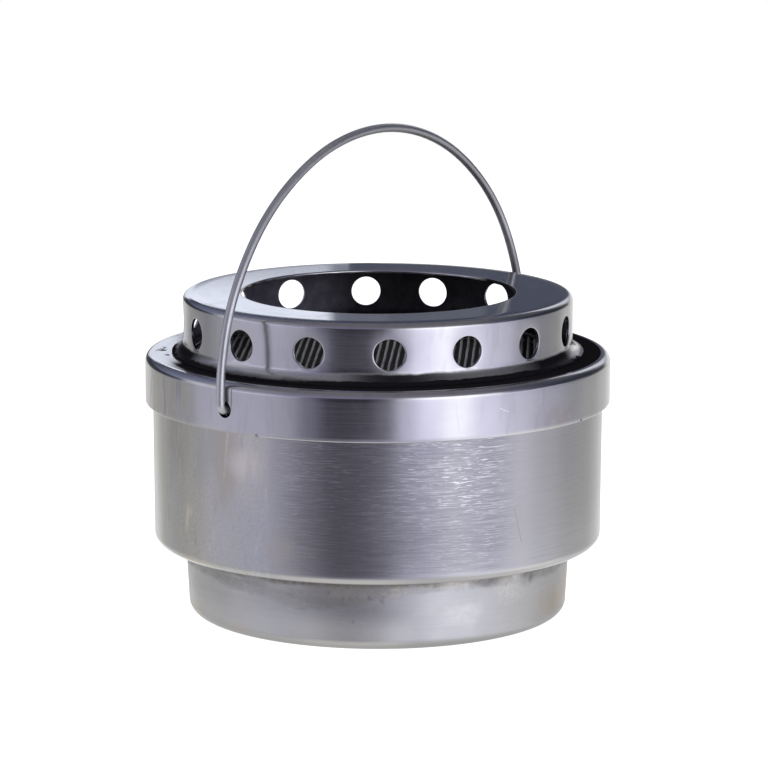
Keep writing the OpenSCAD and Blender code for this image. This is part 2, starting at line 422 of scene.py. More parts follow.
# ---------------------------------------------------------------- materials
def polished_steel():
    k = Mat("polished_steel")
    _, x, y, z, r = k.xyz()
    p, zm = k.phi()
    fine = k.noise(k.lathe_vec(24, 0.22), 1.0, 3.0, 0.6)
    broad = k.noise(k.lathe_vec(40, 3.0), 1.0, 2.0, 0.5)
    cloud = k.noise(None, 45.0, 3.0, 0.55)
    smear = k.noise(None, 160.0, 4.0, 0.6, 0.4)
    tall = k.noise(k.vec(k.math("MULTIPLY", x, 260), k.math("MULTIPLY", y, 260), k.math("MULTIPLY", z, 60)), 1.0, 3.0, 0.55, 0.3)
    col = k.mix(k.range(cloud, 0.35, 0.7, 0.0, 1.0), (0.60, 0.595, 0.61), (0.65, 0.645, 0.66))
    col = k.mix(k.range(tall, 0.46, 0.36, 0.0, 0.3), col, (0.52, 0.51, 0.53))
    # handling marks: olive and beige runs at the skirt's left end, a brown tinge at its right
    skirt = k.range(zm, CAP_Z - 4, CAP_Z - 1.5, 1.0, 0.0)
    end = k.math("MULTIPLY", k.math("MULTIPLY", k.range(p, -56, -47, 1.0, 0.0), k.range(p, -125, -95, 0.0, 1.0)), skirt)
    col = k.mix(k.math("MULTIPLY", k.math("MULTIPLY", end, k.range(tall, 0.44, 0.60, 0.0, 1.0)), 0.65), col, (0.60, 0.56, 0.45))
    col = k.mix(k.math("MULTIPLY", k.math("MULTIPLY", end, k.range(tall, 0.50, 0.38, 0.0, 1.0)), 0.5), col, (0.42, 0.42, 0.43))
    brown = k.math("MULTIPLY", k.math("MULTIPLY", k.patch(49, 72.5, 10, 6, 0.2), skirt), k.range(smear, 0.38, 0.58, 0.1, 1.0))
    col = k.mix(k.math("MULTIPLY", brown, 0.45), col, (0.56, 0.475, 0.43))
    nick = k.mark(on_wall(30.2, 75, 77.9), on_wall(32.6, 75, 76.5), 0.16)
    nick = k.math("MAXIMUM", nick, k.math("MAXIMUM", k.mark(on_wall(3, 47, RING_Z), on_wall(9.5, 53, RING_Z), 0.16), k.mark(on_wall(0.5, 50, RING_Z), on_wall(6.5, 47, RING_Z), 0.14)))
    col = k.mix(k.math("MULTIPLY", nick, 0.8), col, (0.9, 0.9, 0.92))
    # painted shade: the skirt's lower edge is darker on the left, where its edge highlight is kept down
    lip = k.math("MULTIPLY", k.range(zm, SKIRT_Z + 0.15, SKIRT_Z + 0.6, 1.0, 0.0), k.math("MULTIPLY", k.range(p, -36, -26, 1.0, 0.0), k.range(p, -140, -100, 0.0, 1.0)))
    col = k.mix(k.math("MULTIPLY", lip, 0.6), col, (0.34, 0.335, 0.32))
    # painted shade: the ring's wall darker in a band to either side of the front
    wall_shade = k.math("MULTIPLY", k.range(zm, CAP_Z + 3, CAP_Z + 5, 0.0, 1.0), k.range(zm, RING_Z - 1.6, RING_Z - 0.6, 1.0, 0.0))
    wall_shade = k.math("MULTIPLY", wall_shade, k.math("ADD", k.math("MULTIPLY", k.range(p, -82, -74, 0.0, 1.0), k.range(p, -60, -50, 1.0, 0.0)), k.math("MULTIPLY", k.range(p, 40, 50, 0.0, 0.95), k.range(p, 62, 70, 1.0, 0.0))))
    col = k.mix(k.math("MULTIPLY", wall_shade, 0.6), col, (0.40, 0.395, 0.41))
    # soot and painted shade on the shoulder and up the ring's flared foot, left bare at the left, with a painted shadow
    # in the groove at the foot
    flat_soot_and_shade = k.tones(p, -180, 180, [(-180, (.85,) * 3), (-140, (.7,) * 3), (-115, (.1,) * 3), (-96, (.03,) * 3), (-73, (.04,) * 3), (-64, (.7,) * 3), (-56, (.9,) * 3), (-30, (.92,) * 3), (0, (.97,) * 3), (60, (.97,) * 3), (180, (.85,) * 3)])
    rim = k.math("MULTIPLY", k.range(r, 68.4 * MM, 70.8 * MM, 0.0, 0.62), k.math("MAXIMUM", k.range(p, -24, -4, 1.0, 0.25), k.range(p, 110, 170, 0.25, 1.0)))
    flat = k.math("MULTIPLY", k.math("MULTIPLY", k.range(zm, CAP_Z - 0.3, CAP_Z - 0.1, 0.0, 1.0), k.range(zm, CAP_Z + 0.3, CAP_Z + 0.6, 1.0, 0.0)), k.math("SUBTRACT", k.range(r, 71.5 * MM, 72.5 * MM, 1.0, 0.0), rim, clamp=True))
    blot = k.math("MULTIPLY", k.range(smear, 0.56, 0.66, 0.0, 0.55), k.math("MULTIPLY", k.range(p, -66, -60, 1.0, 0.0), k.range(p, -165, -125, 0.0, 1.0)))
    climb = k.tones(p, -180, 180, [(-180, (.9,) * 3), (-135, (.6,) * 3), (-112, (.06,) * 3), (-97, (.3,) * 3), (-86, (1.0,) * 3), (-60, (1.0,) * 3), (-48, (.7,) * 3), (-28, (.6,) * 3), (-15, (.95,) * 3), (10, (1.0,) * 3), (72, (1.0,) * 3), (80, (.1,) * 3), (105, (.05,) * 3), (130, (.6,) * 3), (180, (.9,) * 3)])
    veil = k.tones(p, -180, 180, [(-180, (.6,) * 3), (-135, (.4,) * 3), (-112, (0,) * 3), (-97, (.3,) * 3), (-86, (.92,) * 3), (-71, (.92,) * 3), (-61, (.4,) * 3), (-50, (.11,) * 3), (-20, (.07,) * 3), (-11, (.47,) * 3), (-3, (.76,) * 3), (12, (.74,) * 3), (22, (.58,) * 3), (34, (.46,) * 3), (44, (.58,) * 3), (57, (.82,) * 3), (71, (.88,) * 3), (79, (.0,) * 3), (105, (0,) * 3), (130, (.4,) * 3), (180, (.6,) * 3)])
    low = k.math("ADD", zm, k.math("MULTIPLY", k.math("SUBTRACT", smear, 0.5), 1.2))
    foot = k.math("MAXIMUM", k.math("MULTIPLY", k.range(low, CAP_Z + 0.7, CAP_Z + 2.6, 0.96, 0.0), climb), k.math("MULTIPLY", k.range(low, CAP_Z + 3.0, CAP_Z + 4.2, 1.0, 0.0), veil))
    foot = k.math("MULTIPLY", foot, k.range(zm, CAP_Z + 0.1, CAP_Z + 0.3, 0.0, 1.0))
    # painted shadow: a dark line in the groove where the flared foot meets the shoulder
    groove_shadow = k.math("MULTIPLY", k.range(low, CAP_Z + 0.55, CAP_Z + 1.1, 1.0, 0.0), k.math("MULTIPLY", k.range(zm, CAP_Z + 0.05, CAP_Z + 0.2, 0.0, 1.0), k.range(climb, 0.2, 0.5, 0.0, 1.0)))
    shade = k.math("MULTIPLY", k.math("MULTIPLY", flat, k.math("MAXIMUM", flat_soot_and_shade, blot)), k.range(smear, 0.25, 0.6, 0.88, 1.0))
    soot_and_shade = k.math("MAXIMUM", k.range(shade, 0.0, 0.5, 0.0, 1.0), k.math("MAXIMUM", foot, groove_shadow))
    # char on the lip of the opening at the right
    char = k.math("MULTIPLY", k.math("MULTIPLY", k.range(r, 44.3 * MM, 45.0 * MM, 1.0, 0.0), k.range(zm, RING_Z - 3.0, RING_Z - 2.5, 0.0, 1.0)), k.math("MULTIPLY", k.range(p, 45, 65, 0.0, 0.9), k.range(p, 120, 140, 1.0, 0.0)))
    soot_and_shade = k.math("MAXIMUM", soot_and_shade, char)
    # soot and painted shade: near black, and no longer metal, where the mask is full
    col = k.mix(k.range(soot_and_shade, 0.0, 0.75, 0.0, 1.0, False), col, (0.0105, 0.0095, 0.0115))
    metal = k.math("SUBTRACT", 1.0, soot_and_shade)
    # the flat top is the smoothest, the ring's wall the dullest
    base = k.math("ADD", k.range(zm, CAP_Z + 3, CAP_Z + 6, 0.12, 0.16), k.range(zm, RING_Z - 1.2, RING_Z - 0.1, 0.0, -0.08))
    rough = k.math("ADD", base, k.range(fine, 0.3, 0.75, 0.0, 0.05))
    rough = k.math("ADD", rough, k.math("ADD", k.range(smear, 0.5, 0.75, 0.0, 0.04), k.math("MULTIPLY", k.math("MAXIMUM", nick, soot_and_shade), 0.16)))
    nrm = k.bump(broad, 0.008)
    nrm = k.bump(fine, 0.003, 1.0, nrm)
    k.b.inputs["Specular IOR Level"].default_value = 0.0
    k.around(0.3)
    return k.done(col, rough, nrm, metal)


# The inside of the ring is painted shade: near-black steel, with painted light on one side.
def inner_steel_shade():
    k = Mat("inner_steel_shade")
    p, zm = k.phi()
    soot = k.noise(None, 260.0, 4.0, 0.6, 0.3)
    fine = k.noise(k.lathe_vec(10, 0.5), 1.0, 3.0, 0.6)
    # painted light: one side of the inside is lighter, where light comes in through the holes
    thin = k.math("MULTIPLY", k.range(p, -174, -160, 0.0, 1.0), k.range(p, -110, -90, 1.0, 0.0))
    dark = k.mix(k.range(soot, 0.3, 0.72, 0.0, 1.0), (0.014, 0.013, 0.017), (0.038, 0.036, 0.043))
    pale = k.mix(k.range(soot, 0.3, 0.72, 0.0, 1.0), (0.095, 0.088, 0.116), (0.166, 0.153, 0.196))
    rough = k.range(fine, 0.3, 0.7, 0.4, 0.6)
    return k.done(k.mix(thin, dark, pale), rough, k.bump(soot, 0.02), 0.1)


def brushed_steel():
    k = Mat("brushed_steel")
    _, x, y, z, r = k.xyz()
    p, zm = k.phi()
    dash = k.noise(k.wall_vec(9.0, 0.21), 1.0, 1.0, 0.5)
    tiny = k.noise(k.wall_vec(3.6, 0.31), 1.0, 1.0, 0.5)
    long = k.noise(k.wall_vec(19.0, 0.5), 1.0, 2.0, 0.6)
    hair = k.noise(k.wall_vec(16, 0.22), 1.0, 2.0, 0.6)
    flock = k.noise(None, 75.0, 2.0, 0.5)
    speck = k.noise(None, 1300.0, 3.0, 0.6)
    cloud = k.noise(None, 38.0, 3.0, 0.5)
    soft = k.noise(k.vec(k.math("MULTIPLY", x, 120), k.math("MULTIPLY", y, 120), k.math("MULTIPLY", z, 45)), 1.0, 3.0, 0.55, 0.3)
    down = k.noise(k.vec(k.math("MULTIPLY", x, 270), k.math("MULTIPLY", y, 270), k.math("MULTIPLY", z, 75)), 1.0, 4.0, 0.6, 0.3)
    # the brushing is coarse on one side and rubbed smooth to either side of it; on the coarse side the colour is
    # darker, a painted shade, and its light dashes are painted glints
    left = k.range(p, -150, -98, 0.0, 1.0)
    back = k.range(p, 98, 150, 1.0, 0.0)
    coarse_brush_and_shade = k.math("MULTIPLY", k.math("MULTIPLY", k.range(p, -33, -18, 0.0, 0.6), k.range(p, 28, 42, 1.0, 0.08)), back)
    coarse_brush_and_shade = k.math("ADD", coarse_brush_and_shade, k.math("MULTIPLY", k.range(p, 0, 10, 0.0, 0.4), k.range(p, 28, 38, 1.0, 0.0)))
    coarse_brush_and_shade = k.math("MULTIPLY", coarse_brush_and_shade, k.math("MULTIPLY", k.range(zm, DRUM_Z + 2.2, DRUM_Z + 4.2, 0.0, 1.0), k.range(zm, 25, 38, 0.72, 1.0)))
    brush_lines_and_glints = k.math("MAXIMUM", k.math("MULTIPLY", k.range(dash, 0.59, 0.67, 0.0, 1.0), 0.75), k.range(tiny, 0.61, 0.69, 0.0, 1.0))
    brush_lines_and_glints = k.math("MULTIPLY", k.math("MULTIPLY", k.math("MULTIPLY", brush_lines_and_glints, coarse_brush_and_shade), k.range(flock, 0.38, 0.60, 0.65, 1.0)), k.range(zm, 36, 56, 0.58, 1.0))
    score = k.math("MULTIPLY", k.range(long, 0.42, 0.32, 0.0, 1.0), coarse_brush_and_shade)
    # painted shade: darker grain where the brushing is coarse
    grain = k.mix(k.range(hair, 0.36, 0.64, 0.0, 1.0), (0.31, 0.305, 0.325), (0.405, 0.40, 0.42))
    col = k.mix(coarse_brush_and_shade, (0.565, 0.56, 0.57), grain)
    # painted glints: light brush dashes
    col = k.mix(brush_lines_and_glints, col, (0.76, 0.755, 0.775))
    col = k.mix(k.math("MULTIPLY", score, 0.4), col, (0.25, 0.245, 0.27))
    # painted shade: a darker patch low at the front
    col = k.mix(k.math("MULTIPLY", k.patch(13, 36, 15, 22, 0.2), 0.3), col, (0.24, 0.235, 0.26))
    # heat tints that run down the left side in soft upright patches
    drift = k.math("ADD", p, k.math("MULTIPLY", k.math("SUBTRACT", soft, 0.5), 8.0))
    upper = k.tones(drift, -92, -20, [(-92, (.744, .744, .735)), (-80, (.67, .67, .642)), (-73, (.512, .512, .474)), (-69, (.614, .618, .605)), (-64, (.502, .47, .46)), (-59, (.521, .484, .446)), (-55, (.651, .628, .572)), (-50, (.558, .558, .563)), (-45, (.535, .521, .502)), (-41, (.53, .484, .414)), (-38, (.539, .502, .442)), (-34, (.688, .674, .642)), (-30, (.632, .609, .567)), (-26, (.484, .474, .493)), (-21, (.465, .46, .484))])
    lower = k.tones(drift, -92, -20, [(-92, (.8, .8, .79)), (-80, (.707, .711, .688)), (-71, (.558, .563, .539)), (-65, (.623, .632, .642)), (-60, (.586, .567, .525)), (-55, (.67, .637, .572)), (-51, (.651, .623, .572)), (-45, (.6, .6, .586)), (-38, (.577, .581, .586)), (-30, (.567, .572, .6)), (-25, (.521, .521, .549)), (-21, (.484, .484, .502))])
    side = k.mix(k.range(k.math("ADD", zm, k.math("MULTIPLY", k.math("SUBTRACT", soft, 0.5), 26.0)), 42, 60, 0.0, 1.0), lower, upper)
    side = k.mix(k.range(down, 0.42, 0.30, 0.0, 0.42), side, (0.45, 0.43, 0.40))
    side = k.mix(k.range(down, 0.56, 0.70, 0.0, 0.5), side, (0.70, 0.68, 0.64))
    side = k.mix(k.range(speck, 0.40, 0.66, 0.0, 0.34), side, (0.46, 0.455, 0.445))
    col = k.mix(k.math("MULTIPLY", k.range(p, -30, -22, 1.0, 0.0), left), col, side)
    glow = k.math("MULTIPLY", k.patch(-34, 58.8, 8, 7.5, 0.1), k.range(soft, 0.35, 0.6, 0.35, 1.0))
    col = k.mix(k.math("MULTIPLY", glow, 0.75), col, (0.80, 0.75, 0.69))
    low = k.math("MULTIPLY", k.patch(-22, 33, 10, 9, 0.1), k.range(soft, 0.40, 0.62, 0.3, 1.0))
    col = k.mix(k.math("MULTIPLY", low, 0.5), col, (0.62, 0.555, 0.49))
    # painted highlight: a light spot where a small dent catches the light
    dent_highlight = k.math("MULTIPLY", k.patch(-55, 38, 4.5, 6, 0.2), k.range(down, 0.50, 0.58, 0.0, 1.0))
    col = k.mix(k.math("MULTIPLY", dent_highlight, 0.7), col, (0.84, 0.79, 0.69))
    right = k.math("MULTIPLY", k.math("MULTIPLY", k.range(p, 36, 48, 0.0, 1.0), back), k.range(down, 0.42, 0.62, 0.0, 1.0))
    col = k.mix(k.math("MULTIPLY", right, 0.4), col, (0.53, 0.545, 0.525))
    col = k.mix(k.math("MULTIPLY", k.math("MULTIPLY", k.math("MULTIPLY", k.range(p, 30, 50, 0.0, 1.0), back), k.range(zm, 26, 44, 1.0, 0.0)), 0.45), col, (0.72, 0.72, 0.73))
    streak = k.math("MULTIPLY", k.math("MULTIPLY", k.range(long, 0.40, 0.62, 0.0, 0.22), k.range(p, 34, 48, 0.0, 1.0)), back)
    col = k.mix(streak, col, (0.46, 0.46, 0.465))
    slit = k.mark(on_wall(35.9, 72.5, 45.3), on_wall(38.3, 72.4, 34.0), 0.30)
    col = k.mix(k.math("MULTIPLY", slit, 0.35), col, (0.32, 0.31, 0.33))
    rough = k.math("ADD", k.math("ADD", 0.22, k.math("MULTIPLY", k.range(dash, 0.3, 0.7, -0.03, 0.05), coarse_brush_and_shade)), k.range(cloud, 0.4, 0.75, 0.0, 0.05))
    nrm = k.bump(brush_lines_and_glints, 0.004)
    nrm = k.bump(k.math("MULTIPLY", hair, k.math("MAXIMUM", coarse_brush_and_shade, 0.25)), 0.004, 1.0, nrm)
    k.around(0.6)
    return k.done(col, rough, nrm)


def satin_steel():
    k = Mat("satin_steel")
    _, x, y, z, r = k.xyz()
    p, zm = k.phi()
    grain = k.noise(None, 1100.0, 3.0, 0.6)
    turn = k.noise(k.wall_vec(30, 0.55), 1.0, 2.0, 0.5)
    cloud = k.noise(None, 55.0, 4.0, 0.55, 0.4)
    mott = k.noise(k.vec(k.math("MULTIPLY", x, 75), k.math("MULTIPLY", y, 75), k.math("MULTIPLY", z, 150)), 1.0, 4.0, 0.6, 0.5)
    crumb = k.noise(None, 520.0, 5.0, 0.7, 0.3)
    drawn = k.noise(k.vec(k.math("MULTIPLY", x, 55), k.math("MULTIPLY", y, 55), k.math("MULTIPLY", z, 260)), 1.0, 4.0, 0.6, 0.3)
    fringe = k.math("MULTIPLY", k.math("SUBTRACT", mott, 0.5), 1.1)
    col = k.mix(k.range(cloud, 0.35, 0.7, 0.0, 1.0), (0.565, 0.565, 0.57), (0.615, 0.615, 0.615))
    col = k.mix(k.range(turn, 0.35, 0.65, 0.16, 0.0), col, (0.45, 0.45, 0.455))
    # smoke stain and painted shade under the drum's overhang, deeper towards the left
    foot_z = k.tones(p, -90, 90, [(-90, (.80,) * 3), (-62, (.76,) * 3), (-48, (.70,) * 3), (-36, (.66,) * 3), (-24, (.58,) * 3), (-12, (.60,) * 3), (-2, (.70,) * 3), (10, (.86,) * 3), (36, (.88,) * 3), (52, (.78,) * 3), (70, (.74,) * 3), (90, (.80,) * 3)])
    edge = k.math("SUBTRACT", k.math("ADD", zm, k.math("MULTIPLY", k.math("SUBTRACT", mott, 0.5), 7.0)), k.math("MULTIPLY", foot_z, 22.0))
    dark = k.math("MULTIPLY", k.math("MULTIPLY", k.range(edge, -0.8, 1.4, 0.0, 1.0), k.range(drawn, 0.30, 0.62, 0.45, 1.0)), k.range(crumb, 0.32, 0.62, 0.7, 1.0))
    col = k.mix(k.math("MULTIPLY", dark, 0.60), col, (0.32, 0.308, 0.29))
    streak = k.math("MULTIPLY", k.patch(-20, 14.5, 26, 4.5, 0.2, fringe), k.range(drawn, 0.46, 0.60, 0.0, 1.0))
    col = k.mix(k.math("MULTIPLY", streak, 0.5), col, (0.40, 0.39, 0.385))
    # brown and cream crust along the seam
    # crust and painted shadow: a dark brown line right under the seam
    lip = k.range(k.math("ADD", zm, k.math("MULTIPLY", k.math("SUBTRACT", mott, 0.5), 3.0)), 19.6, 21.2, 0.0, 1.0)
    col = k.mix(k.math("MULTIPLY", k.math("MULTIPLY", lip, k.range(crumb, 0.36, 0.6, 0.5, 1.0)), 0.8), col, (0.21, 0.18, 0.135))
    crust = k.math("MULTIPLY", k.patch(-7, 19.0, 19, 4.4, 0.2, fringe), k.range(crumb, 0.40, 0.62, 0.0, 1.0))
    col = k.mix(k.math("MULTIPLY", crust, 0.6), col, (0.55, 0.51, 0.45))
    fleck = k.math("MULTIPLY", k.patch(-9, 18.2, 24, 5.0, 0.2, fringe), k.range(crumb, 0.46, 0.34, 0.0, 1.0))
    col = k.mix(k.math("MULTIPLY", fleck, 0.45), col, (0.24, 0.235, 0.23))
    cream = k.math("MULTIPLY", k.math("MAXIMUM", k.patch(5, 19.2, 6, 2.2, 0.2, fringe), k.patch(23.5, 20.6, 8, 2.0, 0.2, fringe)), k.range(crumb, 0.34, 0.62, 0.1, 1.0))
    col = k.mix(k.math("MULTIPLY", cream, 0.6), col, (0.72, 0.70, 0.60))
    smut = k.math("MULTIPLY", k.math("MAXIMUM", k.patch(34, 20.2, 5, 3.6, 0.2, fringe), k.patch(49.5, 18.9, 5.5, 3.6, 0.2, fringe)), k.range(crumb, 0.34, 0.60, 0.3, 1.0))
    col = k.mix(k.math("MULTIPLY", smut, 0.85), col, (0.27, 0.26, 0.265))
    drip = k.math("MULTIPLY", k.patch(42.5, 16.2, 8.0, 8.0, 0.2, fringe), k.range(crumb, 0.34, 0.58, 0.15, 1.0))
    col = k.mix(k.math("MULTIPLY", drip, 0.8), col, (0.78, 0.77, 0.73))
    pale = k.math("MULTIPLY", k.patch(27.0, 10.5, 9.5, 7.0, 0.0, fringe), k.math("MULTIPLY", k.range(drawn, 0.34, 0.60, 0.35, 1.0), k.range(crumb, 0.34, 0.60, 0.55, 1.0)))
    col = k.mix(k.math("MULTIPLY", pale, 0.6), col, (0.83, 0.815, 0.77))
    rust = k.math("MULTIPLY", k.math("MAXIMUM", k.patch(68, 7.5, 20, 9, 0.0, fringe), k.math("MULTIPLY", k.patch(80, 10, 12, 10, 0.1, fringe), 0.7)), k.range(mott, 0.30, 0.52, 0.45, 1.0))
    col = k.mix(k.math("MULTIPLY", rust, 0.9), col, (0.57, 0.49, 0.42))
    tan = k.math("MULTIPLY", k.math("MAXIMUM", k.patch(-70, 4.5, 9, 4.5, 0.1, fringe), k.patch(-46, 3, 8, 3, 0.1, fringe)), k.range(mott, 0.38, 0.6, 0.2, 1.0))
    col = k.mix(k.math("MULTIPLY", tan, 0.8), col, (0.64, 0.565, 0.48))
    col = k.mix(k.math("MULTIPLY", k.mark(on_wall(-7.2, 61.6, 9.5), on_wall(-7.0, 61.6, 9.1), 0.45), 0.75), col, (0.20, 0.20, 0.21))
    # painted light: the low part of the base is lighter at the front and to the left
    col = k.mix(k.math("MULTIPLY", k.range(zm, 6, 13, 0.8, 0.0), k.math("MULTIPLY", k.math("MULTIPLY", k.range(p, -30, -16, 0.3, 1.0), k.range(p, -150, -98, 0.0, 1.0)), k.range(p, 2, 14, 1.0, 0.0))), col, (0.88, 0.88, 0.83))
    # painted shade: the foot's rounding darker next to the floor
    rim = k.range(zm, 1.0, 4.0, 1.0, 0.0)
    col = k.mix(k.math("MULTIPLY", rim, 0.8), col, (0.38, 0.38, 0.39))
    rough = k.math("ADD", k.range(grain, 0.3, 0.7, 0.33, 0.42), k.math("MULTIPLY", k.math("MAXIMUM", dark, k.math("MAXIMUM", drip, crust)), 0.14))
    nrm = k.bump(grain, 0.004)
    nrm = k.bump(turn, 0.006, 1.0, nrm)
    k.around(0.4)
    return k.done(col, rough, nrm)


def wire_steel():
    k = Mat("wire_steel")
    uv = k.n("ShaderNodeUVMap", uv_map="wire")
    sep = k.n("ShaderNodeSeparateXYZ")
    k.t.links.new(uv.outputs[0], sep.inputs[0])
    draw = k.noise(k.vec(k.math("MULTIPLY", sep.outputs[0], 60), k.math("MULTIPLY", sep.outputs[1], 9), 0.0), 1.0, 3.0, 0.6)
    pit = k.noise(None, 700.0, 3.0, 0.6)
    cloud = k.noise(None, 70.0, 2.0, 0.5)
    col = k.mix(k.range(cloud, 0.35, 0.7, 0.0, 1.0), (0.52, 0.525, 0.54), (0.60, 0.605, 0.62))
    # painted shade: darker towards the lower end of one leg
    _, x, y, z, r = k.xyz()
    leg_shade = k.math("MULTIPLY", k.range(x, 60 * MM, 70 * MM, 0.0, 1.0), k.range(z, 103 * MM, 122 * MM, 1.0, 0.0))
    col = k.mix(k.math("MULTIPLY", leg_shade, 0.75), col, (0.20, 0.20, 0.225))
    # soot and painted shade on the underside of the arch
    face = k.n("ShaderNodeTexCoord")
    down = k.n("ShaderNodeSeparateXYZ")
    k.t.links.new(face.outputs["Normal"], down.inputs[0])
    smoke_and_shade = k.math("MULTIPLY", k.range(down.outputs[2], 0.25, -0.45, 0.0, 0.85), k.range(z, 112 * MM, 132 * MM, 0.0, 1.0))
    col = k.mix(smoke_and_shade, col, (0.20, 0.20, 0.225))
    col = k.mix(k.range(pit, 0.62, 0.8, 0.0, 0.25), col, (0.30, 0.295, 0.295))
    rough = k.range(draw, 0.3, 0.7, 0.31, 0.40)
    nrm = k.bump(draw, 0.006)
    return k.done(col, rough, nrm, 0.9)


def gauze_steel():
    k = Mat("gauze_steel")
    soot = k.noise(None, 140.0, 4.0, 0.6)
    fine = k.noise(None, 2600.0, 2.0, 0.5)
    col = k.mix(k.range(soot, 0.38, 0.66, 0.0, 1.0), (0.40, 0.40, 0.415), (0.25, 0.245, 0.25))
    rough = k.range(fine, 0.3, 0.7, 0.42, 0.6)
    return k.done(col, rough, k.bump(fine, 0.01), 0.45)


def felt_black():
    k = Mat("charred_felt")
    fib = k.noise(None, 1900.0, 4.0, 0.7, 1.2)
    pat = k.noise(None, 120.0, 3.0, 0.6)
    col = k.mix(k.range(fib, 0.3, 0.75, 0.0, 1.0), (0.006, 0.006, 0.006), (0.03, 0.028, 0.026))
    col = k.mix(k.range(pat, 0.5, 0.75, 0.0, 0.5), col, (0.055, 0.05, 0.045))
    k.b.inputs["Sheen Weight"].default_value = 0.05
    return k.done(col, k.range(fib, 0.3, 0.7, 0.85, 0.98), k.bump(fib, 0.25), 0.0)


def wadding_white():
    k = Mat("wadding_fibre")
    fib = k.noise(None, 1300.0, 5.0, 0.72, 1.5)
    pat = k.noise(None, 90.0, 3.0, 0.6)
    col = k.mix(k.range(fib, 0.3, 0.75, 0.0, 1.0), (0.60, 0.58, 0.53), (0.83, 0.82, 0.78))
    col = k.mix(k.range(pat, 0.5, 0.72, 0.0, 0.45), col, (0.62, 0.56, 0.46))
    k.b.inputs["Sheen Weight"].default_value = 0.25
    return k.done(col, k.range(fib, 0.3, 0.7, 0.85, 0.98), k.bump(fib, 0.4), 0.0)


def braze_metal():
    k = Mat("braze_metal")
    lump = k.noise(None, 420.0, 4.0, 0.6, 0.5)
    scale = k.noise(None, 110.0, 3.0, 0.6)
    col = k.mix(k.range(lump, 0.35, 0.7, 0.0, 1.0), (0.40, 0.33, 0.23), (0.58, 0.50, 0.37))
    col = k.mix(k.range(scale, 0.48, 0.66, 0.0, 0.8), col, (0.12, 0.11, 0.10))
    return k.done(col, k.range(lump, 0.3, 0.7, 0.35, 0.6), k.bump(lump, 0.08), 0.9)


def weld_dark():
    k = Mat("weld_dark")
    lump = k.noise(None, 1500.0, 3.0, 0.6)
    col = k.mix(k.range(lump, 0.35, 0.7, 0.0, 1.0), (0.20, 0.19, 0.215), (0.38, 0.37, 0.40))
    return k.done(col, k.range(lump, 0.3, 0.7, 0.45, 0.65), k.bump(lump, 0.05), 0.55)


M_POL, M_INNER_SHADE, M_BRUSH, M_SATIN = polished_steel(), inner_steel_shade(), brushed_steel(), satin_steel()
M_WIRE, M_GAUZE, M_FELT, M_WAD = wire_steel(), gauze_steel(), felt_black(), wadding_white()
M_BRAZE, M_WELD = braze_metal(), weld_dark()

STOVE, BAIL = "stove", "bail"


def place(o, body, node):
    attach(o, body)
    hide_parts(node)
    return o


